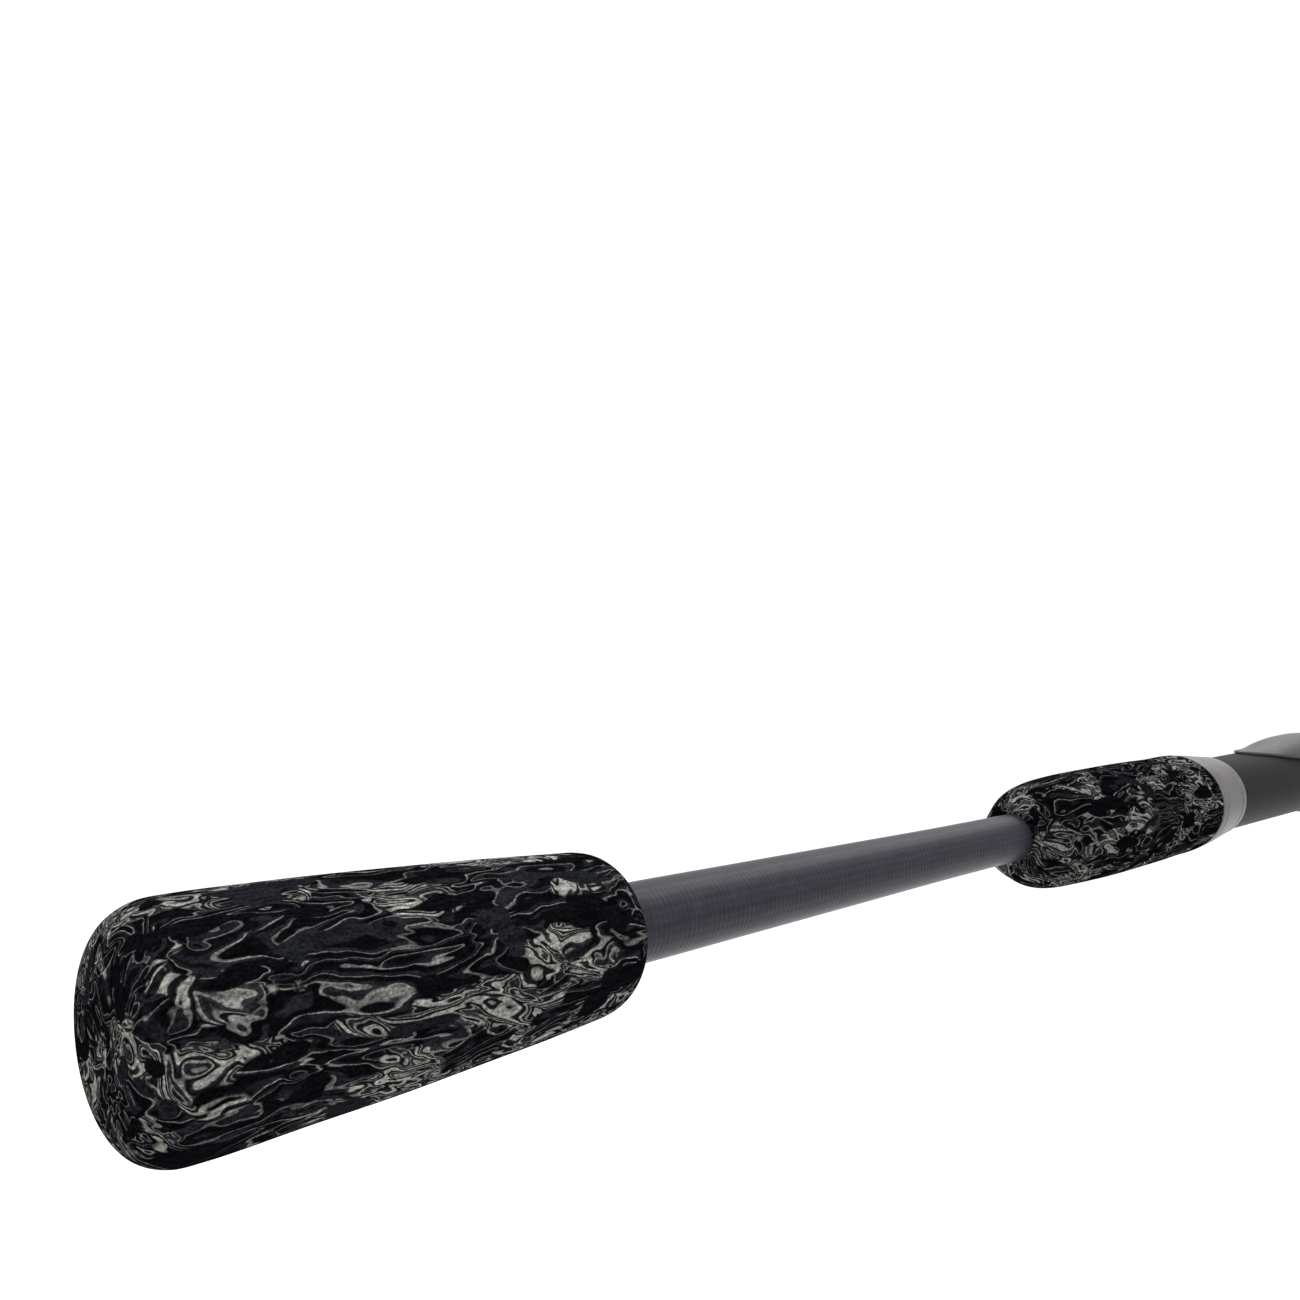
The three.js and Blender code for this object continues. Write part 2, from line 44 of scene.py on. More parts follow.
# ------------------------------------------------------------------ dimensions
BUTT = [(9, 6.45), (76, 6.28), (102.6, 5.90), (132.6, 5.44), (162.6, 5.0), (192.6, 4.82), (268, 4.68),
        (432, 4.34), (600, 3.92), (760, 3.46), (907, 3.06), (977, 2.84)]
SEAT_Z = 0.75      # the rear grip, ring and seat sit this far off the blank's axis
TIP = [(915, 3.78), (959, 3.66), (981, 3.3), (1007, 2.8), (1180, 2.16), (1350, 1.78), (1492, 1.50),
       (1703, 1.02), (1817, 0.76)]
GUIDES = [
    dict(name="guide_1", x=748, drop=25.5, ro=12.2, ri=10.1, wire=0.95, feet=2, foot=17, tilt=-6),
    dict(name="guide_2", x=1020, drop=17.2, ro=7.9, ri=6.25, wire=0.80, feet=2, foot=14, tilt=-6),
    dict(name="guide_3", x=1262, drop=11.4, ro=5.5, ri=4.15, wire=0.66, feet=1, foot=15, tilt=-10),
    dict(name="guide_4", x=1492, drop=8.8, ro=4.25, ri=2.95, wire=0.60, feet=1, foot=14, tilt=-12),
    dict(name="guide_5", x=1703, drop=6.9, ro=2.95, ri=1.95, wire=0.52, feet=1, foot=11.5, tilt=-15),
]
RING = dict(x=1824.2, drop=4.2, ro=3.15, ri=2.15, tilt=42)


# --------------------------------------------------------------------- curves
def monotone(table):
    """A smooth curve through a table that doesn't overshoot."""
    xs = np.array([p[0] for p in table], float)
    ys = np.array([p[1] for p in table], float)
    h = np.diff(xs)
    d = np.diff(ys) / h
    m = np.zeros_like(xs)
    m[0], m[-1] = d[0], d[-1]
    for k in range(1, len(xs) - 1):
        if d[k - 1] * d[k] > 0:
            w1, w2 = 2 * h[k] + h[k - 1], h[k] + 2 * h[k - 1]
            m[k] = (w1 + w2) / (w1 / d[k - 1] + w2 / d[k])

    def f(x):
        x = np.clip(np.asarray(x, float), xs[0], xs[-1])
        k = np.clip(np.searchsorted(xs, x, side="right") - 1, 0, len(xs) - 2)
        s = (x - xs[k]) / h[k]
        return ((1 + 2 * s) * (1 - s) ** 2 * ys[k] + s * (1 - s) ** 2 * h[k] * m[k]
                + s * s * (3 - 2 * s) * ys[k + 1] + s * s * (s - 1) * h[k] * m[k + 1])
    return f


butt_r = monotone(BUTT)
tip_r = monotone(TIP)


def resample(p, step):
    d = np.concatenate([[0], np.cumsum(np.linalg.norm(np.diff(p, axis=0), axis=1))])
    n = max(2, int(round(d[-1] / step)) + 1)
    t = np.linspace(0, d[-1], n)
    return np.stack([np.interp(t, d, p[:, k]) for k in range(p.shape[1])], 1)


def spline(points, step=None, per=16):
    """Centripetal Catmull-Rom through points of any dimension."""
    p = np.array(points, float)
    e = np.vstack([2 * p[0] - p[1], p, 2 * p[-1] - p[-2]])
    out = []
    for i in range(1, len(e) - 2):
        p0, p1, p2, p3 = e[i - 1:i + 3]
        t0 = 0.0
        t1 = t0 + np.linalg.norm(p1 - p0) ** 0.5
        t2 = t1 + np.linalg.norm(p2 - p1) ** 0.5
        t3 = t2 + np.linalg.norm(p3 - p2) ** 0.5
        t = np.linspace(t1, t2, per, endpoint=False)[:, None]
        a1 = (t1 - t) / (t1 - t0) * p0 + (t - t0) / (t1 - t0) * p1
        a2 = (t2 - t) / (t2 - t1) * p1 + (t - t1) / (t2 - t1) * p2
        a3 = (t3 - t) / (t3 - t2) * p2 + (t - t2) / (t3 - t2) * p3
        b1 = (t2 - t) / (t2 - t0) * a1 + (t - t0) / (t2 - t0) * a2
        b2 = (t3 - t) / (t3 - t1) * a2 + (t - t1) / (t3 - t1) * a3
        out.append((t2 - t) / (t2 - t1) * b1 + (t - t1) / (t2 - t1) * b2)
    out.append(p[-1:])
    out = np.vstack(out)
    return out if step is None else resample(out, step)


def rounded(points, steps=5, closed=False):
    """A polyline of (x, r, fillet) with its corners rounded."""
    p = [np.array(q[:2], float) for q in points]
    f = [q[2] if len(q) > 2 else 0 for q in points]
    n = len(p)
    out = []
    for i in range(n):
        if f[i] <= 0 or (not closed and i in (0, n - 1)):
            out.append(p[i])
            continue
        a, b = p[i - 1] - p[i], p[(i + 1) % n] - p[i]
        la, lb = np.linalg.norm(a), np.linalg.norm(b)
        s, e = p[i] + a / la * min(f[i], 0.48 * la), p[i] + b / lb * min(f[i], 0.48 * lb)
        for t in np.linspace(0, 1, steps + 1):
            out.append((1 - t) ** 2 * s + 2 * t * (1 - t) * p[i] + t * t * e)
    return np.array(out)


def smoothstep(a, b, x):
    t = np.clip((np.asarray(x, float) - a) / (b - a), 0, 1)
    return t * t * (3 - 2 * t)


def round_steps(x, steps):
    """Rows along x, closer together near each of the steps."""
    return np.unique(np.concatenate([x] + [np.array([s - 0.05, s, s + 0.05]) for s in steps]))


# --------------------------------------------------------------------- meshes
class Build:
    """Collects surfaces in millimetres and makes one mesh of them."""

    def __init__(self):
        self.v, self.f, self.n = [], [], 0

    def grid(self, P, wrap_v=False, wrap_u=True):
        nv, nu, _ = P.shape
        i = np.arange(nv * nu).reshape(nv, nu)
        b = np.roll(i, -1, axis=1)
        c, d = np.roll(b, -1, axis=0), np.roll(i, -1, axis=0)
        f = np.stack([i, b, c, d], -1)
        f = f if wrap_v else f[:-1]
        f = f if wrap_u else f[:, :-1]
        self.v.append(P.reshape(-1, 3))
        self.f.append(f.reshape(-1, 4) + self.n)
        self.n += nv * nu
        return self

    def lathe(self, profile, segments=96, loop=True, place=None, angles=None):
        """profile is (x, r) pairs. place turns local points into the row frame."""
        p = np.asarray(profile, float)[:, :2]
        a = np.arange(segments) / segments * TAU if angles is None else angles
        P = np.stack([np.repeat(p[:, :1], len(a), 1), p[:, 1:] * np.sin(a)[None], -p[:, 1:] * np.cos(a)[None]], -1)
        if place is not None:
            P = place(P)
        return self.grid(P, wrap_v=loop)

    def polar(self, x, R, angles, loop=True, lift=0.0):
        """R[v, u] is the radius at x[v] and angle u, measured from -Z towards +Y."""
        x = np.asarray(x, float)
        X = np.repeat(x[:, None], len(angles), 1) if x.ndim == 1 else x
        return self.grid(np.stack([X, R * np.sin(angles)[None], lift - R * np.cos(angles)[None]], -1), wrap_v=loop)

    def sweep(self, path, width, height, up=(0, 0, 1), power=2.0, sides=16, closed=False):
        """A bar along path. width is half its size across up, height half its size along up."""
        p = np.asarray(path, float)
        n = len(p)
        w = np.broadcast_to(np.asarray(width, float), (n,)).copy()
        h = np.broadcast_to(np.asarray(height, float), (n,)).copy()
        if closed:
            t = np.roll(p, -1, 0) - np.roll(p, 1, 0)
        else:
            t = np.gradient(p, axis=0)
        t /= np.linalg.norm(t, axis=1)[:, None]
        if not closed:
            k = np.radians([90, 70, 45, 22])
            for end in (0, -1):
                s = -1 if end == 0 else 1
                reach = min(w[end], h[end])
                caps = [p[end] + s * t[end] * reach * math.sin(a) for a in k]
                cw = [max(w[end] * math.cos(a), 1e-4) if a < 1.5 else 1e-4 for a in k]
                ch = [max(h[end] * math.cos(a), 1e-4) if a < 1.5 else 1e-4 for a in k]
                tt = np.repeat(t[end][None], 4, 0)
                if end == 0:
                    p, t = np.vstack([caps, p]), np.vstack([tt, t])
                    w, h = np.concatenate([cw, w]), np.concatenate([ch, h])
                else:
                    p, t = np.vstack([p, caps[::-1]]), np.vstack([t, tt])
                    w, h = np.concatenate([w, cw[::-1]]), np.concatenate([h, ch[::-1]])
        u = np.zeros_like(p)
        ref = np.array(up, float)
        for i in range(len(p)):
            r = ref - t[i] * (ref @ t[i])
            if np.linalg.norm(r) < 1e-5:
                r = np.cross(t[i], [0, 1, 0])
            u[i] = r / np.linalg.norm(r)
            ref = u[i]
        s = np.cross(t, u)
        a = np.arange(sides) / sides * TAU
        c, d = np.cos(a), np.sin(a)
        c = np.sign(c) * np.abs(c) ** (2 / power)
        d = np.sign(d) * np.abs(d) ** (2 / power)
        P = p[:, None] + s[:, None] * (w[:, None] * c[None])[..., None] + u[:, None] * (h[:, None] * d[None])[..., None]
        return self.grid(P, wrap_v=closed)

    def make(self, name, material, angle=38, merge=2e-7, turn=(1, -1, -1)):
        me = bpy.data.meshes.new(name)
        v, f = np.vstack(self.v) * MM * np.array(turn), np.vstack(self.f)
        me.from_pydata(v.tolist(), [], f.tolist())
        bm = bmesh.new()
        bm.from_mesh(me)
        bmesh.ops.remove_doubles(bm, verts=bm.verts, dist=merge)
        bmesh.ops.dissolve_degenerate(bm, dist=1e-8, edges=bm.edges)
        bmesh.ops.recalc_face_normals(bm, faces=bm.faces)
        bm.to_mesh(me)
        bm.free()
        me.shade_smooth()
        me.set_sharp_from_angle(angle=math.radians(angle))
        me.materials.append(material)
        o = bpy.data.objects.new(name, me)
        bpy.context.scene.collection.objects.link(o)
        return o


def piece(build, node, body, material, angle=38):
    """Makes the visual piece that stands for one CAD node."""
    o = build.make("v_" + node, material, angle)
    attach(o, body)
    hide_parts(node)
    return o


# ------------------------------------------------------------------ materials
class Shader:
    def __init__(self, name, roughness=0.5, metallic=0.0, ior_level=0.5):
        self.m = bpy.data.materials.new(name)
        self.m.use_nodes = True
        self.t = self.m.node_tree
        self.bsdf = self.t.nodes["Principled BSDF"]
        self.set("Roughness", roughness)
        self.set("Metallic", metallic)
        self.set("Specular IOR Level", ior_level)

    def set(self, socket, value):
        if isinstance(value, bpy.types.NodeSocket):
            self.t.links.new(value, self.bsdf.inputs[socket])
        else:
            self.bsdf.inputs[socket].default_value = value

    def put(self, node, index, value):
        if value is None:
            return
        if isinstance(value, bpy.types.NodeSocket):
            self.t.links.new(value, node.inputs[index])
        else:
            node.inputs[index].default_value = value

    def node(self, kind, **properties):
        n = self.t.nodes.new(kind)
        for k, v in properties.items():
            setattr(n, k, v)
        return n

    def math(self, op, a, b=None, c=None, clamp=False):
        n = self.node("ShaderNodeMath", operation=op, use_clamp=clamp)
        for i, v in enumerate((a, b, c)):
            self.put(n, i, v)
        return n.outputs[0]

    def vmath(self, op, a, b=None, scale=None):
        n = self.node("ShaderNodeVectorMath", operation=op)
        self.put(n, 0, a)
        self.put(n, 1, b)
        if scale is not None:
            self.put(n, "Scale", scale)
        return n.outputs[0]

    def mm(self, offset=(0, 0, 0)):
        """Object coordinates in millimetres."""
        n = self.node("ShaderNodeTexCoord")
        v = self.vmath("SCALE", n.outputs["Object"], scale=1000.0)
        return self.vmath("ADD", v, offset) if any(offset) else v

    def split(self, v):
        n = self.node("ShaderNodeSeparateXYZ")
        self.put(n, 0, v)
        return n.outputs

    def noise(self, v, scale, detail=2.0, rough=0.5, distortion=0.0, out="Fac", lac=2.0):
        n = self.node("ShaderNodeTexNoise")
        self.put(n, "Vector", v)
        self.put(n, "Scale", scale)
        self.put(n, "Detail", detail)
        self.put(n, "Roughness", rough)
        self.put(n, "Lacunarity", lac)
        self.put(n, "Distortion", distortion)
        return n.outputs[out]

    def swirl(self, v, scale, amount, detail=1.0):
        """v pushed about by a colour noise."""
        c = self.noise(v, scale, detail, out="Color")
        c = self.vmath("SUBTRACT", c, (0.5, 0.5, 0.5))
        return self.vmath("ADD", v, self.vmath("MULTIPLY", c, amount))

    def voronoi(self, v, scale, feature="F1", out="Distance", randomness=1.0):
        n = self.node("ShaderNodeTexVoronoi", feature=feature)
        self.put(n, "Vector", v)
        self.put(n, "Scale", scale)
        self.put(n, "Randomness", randomness)
        return n.outputs[out]

    def ramp(self, fac, stops, mode="LINEAR"):
        n = self.node("ShaderNodeValToRGB")
        r = n.color_ramp
        r.interpolation = mode
        while len(r.elements) < len(stops):
            r.elements.new(0.5)
        for e, (p, c) in zip(r.elements, stops):
            e.position = p
            c = (c, c, c) if not hasattr(c, "__len__") else c
            e.color = (*c, 1)
        self.put(n, 0, fac)
        return n.outputs[0]

    def range(self, v, a, b, c=0.0, d=1.0, smooth=True):
        n = self.node("ShaderNodeMapRange", interpolation_type="SMOOTHSTEP" if smooth else "LINEAR")
        for i, x in enumerate((v, a, b, c, d)):
            self.put(n, i, x)
        return n.outputs[0]

    def mix(self, fac, a, b, mode="MIX"):
        n = self.node("ShaderNodeMix", data_type="RGBA", blend_type=mode)
        self.put(n, 0, fac)
        for i, x in ((6, a), (7, b)):
            if isinstance(x, (int, float)):
                x = (x, x, x, 1)
            elif isinstance(x, tuple) and len(x) == 3:
                x = (*x, 1)
            self.put(n, i, x)
        return n.outputs[2]

    def bump(self, height, distance, strength=1.0, normal=None):
        """distance is the relief in millimetres."""
        n = self.node("ShaderNodeBump")
        self.put(n, "Height", height)
        self.put(n, "Distance", distance * MM)
        self.put(n, "Strength", strength)
        if normal is not None:
            self.put(n, "Normal", normal)
        return n.outputs[0]


def eva(name, offset, dim=1.0):
    """Marbled foam: thin wavy strata of black, charcoal and olive-grey foam, drawn out along the rod."""
    s = Shader(name, roughness=0.9, ior_level=0.0)
    p = s.mm(offset)
    p1 = s.swirl(p, 0.05, (9.0, 4.5, 4.5), 1.0)
    p2 = s.swirl(p1, 0.19, (3.4, 2.0, 2.0), 1.5)
    along = s.vmath("MULTIPLY", p2, (0.24, 1.0, 1.0))
    across = s.vmath("ADD", along, s.vmath("CROSS_PRODUCT", p2, (0.0, 0.30, 0.36)))
    # the strata, as runs of bands across a slow noise, in two directions
    band = s.math("FRACT", s.math("MULTIPLY", s.noise(along, 0.165, 2.0, 0.55, 0.7), 5.6))
    band2 = s.math("FRACT", s.math("MULTIPLY_ADD", s.noise(across, 0.175, 2.2, 0.55, 0.7), 6.2, 0.3))
    dark = s.ramp(band, [
        (0.00, (0.0020, 0.0021, 0.0026)), (0.22, (0.0022, 0.0023, 0.0029)), (0.245, (0.040, 0.040, 0.040)),
        (0.28, (0.070, 0.070, 0.067)), (0.30, (0.006, 0.006, 0.0075)), (0.44, (0.0095, 0.0100, 0.0125)), (0.48, (0.0022, 0.0023, 0.0029)),
        (0.72, (0.0020, 0.0021, 0.0027)), (0.75, (0.070, 0.071, 0.068)), (0.80, (0.110, 0.110, 0.102)), (0.82, (0.009, 0.009, 0.011)),
        (0.92, (0.007, 0.0073, 0.0092)), (1.00, (0.0020, 0.0021, 0.0026)),
    ])
    pale = s.ramp(band2, [
        (0.00, (0.115, 0.115, 0.106)), (0.12, (0.172, 0.171, 0.156)), (0.22, (0.145, 0.145, 0.132)), (0.25, (0.014, 0.015, 0.017)),
        (0.38, (0.0030, 0.0031, 0.0038)), (0.45, (0.0075, 0.0077, 0.0090)), (0.49, (0.085, 0.085, 0.079)), (0.57, (0.145, 0.144, 0.132)),
        (0.60, (0.018, 0.019, 0.020)), (0.73, (0.0060, 0.0063, 0.0078)), (0.76, (0.055, 0.056, 0.054)), (0.82, (0.098, 0.098, 0.090)),
        (0.84, (0.0055, 0.0057, 0.0070)), (0.96, (0.0024, 0.0025, 0.0031)), (1.00, (0.115, 0.115, 0.106)),
    ])
    # pale and dark chips, each with the strata running through it
    zone = s.noise(s.vmath("MULTIPLY", p2, (0.45, 1.0, 1.0)), 0.17, 1.5, 0.5)
    colour = s.mix(s.range(zone, 0.505, 0.535), dark, pale)
    slab = s.noise(s.vmath("MULTIPLY", p1, (0.45, 1.0, 1.0)), 0.19, 1.0)
    colour = s.mix(s.range(slab, 0.645, 0.665), colour, (0.0070, 0.0073, 0.0092))
    colour = s.mix(s.range(slab, 0.375, 0.395, 1.0, 0.0), colour, (0.0024, 0.0025, 0.0032))
    # fine parallel lines inside the strata
    hair = s.noise(s.vmath("MULTIPLY", p2, (0.12, 1.0, 1.0)), 1.5, 2.0, 0.6)
    colour = s.mix(1.0, colour, s.range(hair, 0.32, 0.66, 0.58, 1.38, smooth=False), "MULTIPLY")
    # closed cells and the sanded grain of the foam; the bright specks the grain puts into the colour are painted glints
    # off the foam cells
    grain = s.noise(s.vmath("MULTIPLY", p, (0.8, 1.0, 1.0)), 2.6, 3.0, 0.70)
    colour = s.mix(1.0, colour, s.range(grain, 0.30, 0.72, 0.25, 1.85, smooth=False), "MULTIPLY")
    if dim != 1.0:
        colour = s.mix(1.0, colour, (dim, dim, dim), "MULTIPLY")
    cell = s.voronoi(p, 2.6)
    s.set("Base Color", colour)
    relief = s.math("ADD", s.math("MULTIPLY", grain, 0.60), s.math("MULTIPLY", cell, 0.25))
    relief = s.math("ADD", relief, s.math("MULTIPLY", hair, 0.45))
    s.set("Normal", s.bump(relief, 0.16, 0.85))
    s.set("Roughness", s.range(grain, 0.3, 0.7, 0.70, 0.92, smooth=False))
    return s.m


def carbon(name, scale=1.0):
    """Satin blank with the fine ridges that the shrink tape leaves, and a faint weave."""
    s = Shader(name, ior_level=0.11)
    p = s.mm()
    x, y, z = s.split(p)[:3]
    around = s.math("ARCTAN2", y, s.math("MULTIPLY", z, -1.0))
    turn = s.math("DIVIDE", around, TAU)
    ridge = s.math("SINE", s.math("MULTIPLY", s.math("ADD", s.math("DIVIDE", x, 0.92 * scale), turn), TAU))
    weave_a = s.math("SINE", s.math("MULTIPLY_ADD", x, 2.9 / scale, s.math("MULTIPLY", around, 14.0)))
    weave_b = s.math("SINE", s.math("MULTIPLY_ADD", x, 2.9 / scale, s.math("MULTIPLY", around, -14.0)))
    weave = s.math("MULTIPLY", weave_a, weave_b)
    mottle = s.noise(s.vmath("MULTIPLY", p, (0.5, 1.0, 1.0)), 0.55, 3.0, 0.6)
    fine = s.noise(s.vmath("MULTIPLY", p, (3.0, 1.0, 1.0)), 2.2, 3.0, 0.7)
    base = s.mix(s.range(weave, -1.0, 1.0, 0.0, 1.0, smooth=False), (0.0120, 0.0120, 0.0165), (0.0200, 0.0195, 0.0275))
    base = s.mix(1.0, base, s.range(mottle, 0.3, 0.7, 0.8, 1.2, smooth=False), "MULTIPLY")
    s.set("Base Color", base)
    s.set("Roughness", s.range(fine, 0.3, 0.7, 0.30, 0.46, smooth=False))
    h = s.math("ADD", s.math("MULTIPLY", ridge, 0.5), s.math("MULTIPLY", weave, 0.28))
    h = s.math("ADD", h, s.math("MULTIPLY", fine, 0.55))
    s.set("Normal", s.bump(h, 0.022, 0.8))
    return s.m


def brushed(name, tint, rough=0.3, pitch=0.22, metallic=1.0, relief=0.006, wear=0.5):
    """Turned or brushed metal: fine lines round the rod's axis, with small marks."""
    s = Shader(name, roughness=rough, metallic=metallic)
    p = s.mm()
    lines = s.noise(s.vmath("MULTIPLY", p, (1.0 / pitch, 0.10, 0.10)), 1.0, 3.0, 0.6)
    cloud = s.noise(p, 0.30, 3.0, 0.6)
    speck = s.noise(p, 3.5, 2.0, 0.6)
    base = s.mix(s.range(cloud, 0.3, 0.7, 0.0, 1.0, smooth=False), tuple(c * 0.88 for c in tint), tint)
    base = s.mix(1.0, base, s.range(lines, 0.3, 0.7, 0.90, 1.06, smooth=False), "MULTIPLY")
    s.set("Base Color", base)
    s.set("Roughness", s.math("ADD", s.range(speck, 0.3, 0.75, rough - 0.05, rough + 0.07 * (1 + wear), smooth=False),
                              s.range(lines, 0.3, 0.7, -0.03, 0.05, smooth=False)))
    s.set("Normal", s.bump(s.math("ADD", lines, s.math("MULTIPLY", speck, 0.25)), relief, 0.9))
    return s.m


def gloss(name, tint=(0.0035, 0.0035, 0.0042), thread=0.17, relief=0.030):
    """Thread wound round the blank and flooded with clear epoxy."""
    s = Shader(name, roughness=0.34, ior_level=0.08)
    p = s.mm()
    x, y, z = s.split(p)[:3]
    turn = s.math("DIVIDE", s.math("ARCTAN2", y, s.math("MULTIPLY", z, -1.0)), TAU)
    wave = s.math("SINE", s.math("MULTIPLY", s.math("ADD", s.math("DIVIDE", x, thread), turn), TAU))
    strand = s.noise(s.vmath("MULTIPLY", p, (0.4, 2.5, 2.5)), 1.4, 2.0, 0.6)
    base = s.mix(s.range(wave, -1.0, 1.0, 0.0, 1.0, smooth=False), tuple(c * 0.55 for c in tint), tuple(c * 1.9 for c in tint))
    base = s.mix(1.0, base, s.range(strand, 0.3, 0.7, 0.7, 1.3, smooth=False), "MULTIPLY")
    s.set("Base Color", base)
    s.set("Normal", s.bump(wave, relief * 0.6, 0.5))
    s.set("Coat Weight", 0.42)
    s.set("Coat Roughness", 0.045)
    s.set("Coat Normal", s.bump(s.noise(p, 0.55, 2.0, 0.5), 0.10, 0.5))
    return s.m


def polished(name, tint, rough, metallic=0.0, coat=0.0, relief=0.004, ior_level=0.5):
    """Ceramic, or plated wire: nearly smooth, with a slight unevenness and fine marks."""
    s = Shader(name, roughness=rough, metallic=metallic, ior_level=ior_level)
    p = s.mm()
    cloud = s.noise(p, 0.9, 3.0, 0.6)
    mark = s.noise(s.vmath("MULTIPLY", p, (1.0, 1.0, 3.0)), 2.8, 3.0, 0.7)
    base = s.mix(s.range(cloud, 0.3, 0.7, 0.0, 1.0, smooth=False), tuple(c * 0.78 for c in tint), tuple(min(1.0, c * 1.15) for c in tint))
    s.set("Base Color", base)
    s.set("Roughness", s.range(mark, 0.3, 0.75, max(0.02, rough - 0.04), rough + 0.10, smooth=False))
    s.set("Normal", s.bump(s.math("ADD", cloud, s.math("MULTIPLY", mark, 0.3)), relief, 0.8))
    if coat:
        s.set("Coat Weight", coat)
        s.set("Coat Roughness", 0.04)
    return s.m


def moulded(name, tint, rough, grain=0.02, ior_level=0.45):
    """Moulded plastic with a spark-eroded grain and slight flow marks."""
    s = Shader(name, roughness=rough, ior_level=ior_level)
    p = s.mm()
    tooth = s.noise(p, 3.6, 3.0, 0.65)
    flow = s.noise(s.swirl(p, 0.1, (3.0, 3.0, 3.0)), 0.22, 3.0, 0.55)
    base = s.mix(s.range(flow, 0.3, 0.7, 0.0, 1.0, smooth=False), tuple(c * 0.80 for c in tint), tuple(c * 1.2 for c in tint))
    s.set("Base Color", base)
    s.set("Roughness", s.math("ADD", s.range(tooth, 0.3, 0.7, rough - 0.07, rough + 0.08, smooth=False),
                              s.range(flow, 0.3, 0.7, -0.03, 0.03, smooth=False)))
    s.set("Normal", s.bump(tooth, grain, 0.8))
    return s.m


def fibre(name, tint):
    """Pressed paper tube and cork composite for the hidden arbors and plug."""
    s = Shader(name, roughness=0.9, ior_level=0.2)
    p = s.mm()
    flake = s.voronoi(s.vmath("MULTIPLY", p, (0.6, 1.0, 1.0)), 0.9, out="Color")
    fx = s.split(flake)[0]
    fuzz = s.noise(p, 2.4, 4.0, 0.7)
    base = s.mix(fx, tuple(c * 0.7 for c in tint), tuple(c * 1.25 for c in tint))
    base = s.mix(1.0, base, s.range(fuzz, 0.3, 0.7, 0.75, 1.2, smooth=False), "MULTIPLY")
    s.set("Base Color", base)
    s.set("Normal", s.bump(fuzz, 0.06, 0.9))
    return s.m


M_EVA_BUTT = eva("eva_butt", (13.0, 4.0, 31.0))
M_EVA_REAR = eva("eva_rear", (402.0, 63.0, 17.0), 0.72)
M_EVA_FORE = eva("eva_fore", (911.0, 27.0, 88.0), 0.85)
M_BLANK = carbon("carbon_butt")
M_TIP = carbon("carbon_tip", 0.75)
M_TRIM = brushed("satin_trim", (0.135, 0.131, 0.128), 0.44, 0.26)
M_HOOD = brushed("satin_hood", (0.062, 0.061, 0.060), 0.40, 0.22)
M_SEAT = moulded("seat_plastic", (0.0080, 0.0080, 0.0092), 0.50, ior_level=0.05)
M_NUT = moulded("nut_plastic", (0.010, 0.010, 0.0115), 0.44, ior_level=0.12)
M_WRAP = gloss("thread_wrap")
M_GUIDE = polished("gunmetal_frame", (0.040, 0.041, 0.046), 0.20, metallic=0.85, ior_level=0.3)
M_GUIDE_BLACK = polished("black_frame", (0.010, 0.010, 0.0115), 0.20, metallic=0.4, ior_level=0.22)
M_CERAMIC = polished("black_ceramic", (0.0035, 0.0035, 0.0040), 0.08, coat=0.10, relief=0.002, ior_level=0.22)
M_STEEL = brushed("stainless_tip", (0.33, 0.33, 0.325), 0.26, 0.30, relief=0.012)
M_ARBOR = fibre("arbor_fibre", (0.30, 0.28, 0.24))
M_PLUG = fibre("plug_cork", (0.22, 0.14, 0.08))

# ---------------------------------------------------------------------- blank
def blank(node, body, r, x0, x1, wall, segments, step, material):
    x = np.linspace(x0, x1, int((x1 - x0) / step) + 1)
    outer = np.stack([x, r(x)], 1)
    bore = wall[::-1]
    closed_tip = wall[-1][1] <= 0
    profile = np.vstack([outer, [[x1, 0]]] if closed_tip else [outer])
    b = Build()
    profile = np.vstack([profile, bore])
    b.lathe(profile, segments, loop=True)
    return piece(b, node, body, material, 50)


xs = np.linspace(9, 977, 90)
inner = [(x, float(butt_r(x)) - 1.15) for x in xs]
blank("butt_blank", "butt_section", butt_r, 9, 977, inner, 96, 2.4, M_BLANK)
socket = [(915, float(butt_r(915)) + 0.10), (978.5, float(butt_r(977)) + 0.08), (983, 2.05), (1180, 1.45),
          (1492, 0.8), (1700, 0.45), (1702, 0.0)]
x = np.linspace(915, 1817, 300)
profile = np.vstack([[[915, socket[0][1] + 0.12]], [[915.0, float(tip_r(915)) - 0.12]], [[915.12, float(tip_r(915))]],
                     np.stack([x[1:-1], tip_r(x[1:-1])], 1), [[1817, 0.70]], [[1817, 0.0]]])
b = Build()
b.lathe(profile, 64, loop=False)
b.lathe(np.array([[915, socket[0][1] + 0.12]] + [[915.12, socket[0][1]]] + [list(p) for p in socket[1:]]), 64, loop=False)
piece(b, "tip_blank", "tip_section", M_TIP, 50)

for node, material, slot_name in (("seat_arbor_rear", M_ARBOR, "arbor"), ("seat_arbor_front", M_ARBOR, "arbor"),
                                  ("blank_end_plug", M_PLUG, "plug")):
    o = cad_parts[node]
    o.data.materials.clear()
    o.data.materials.append(material)


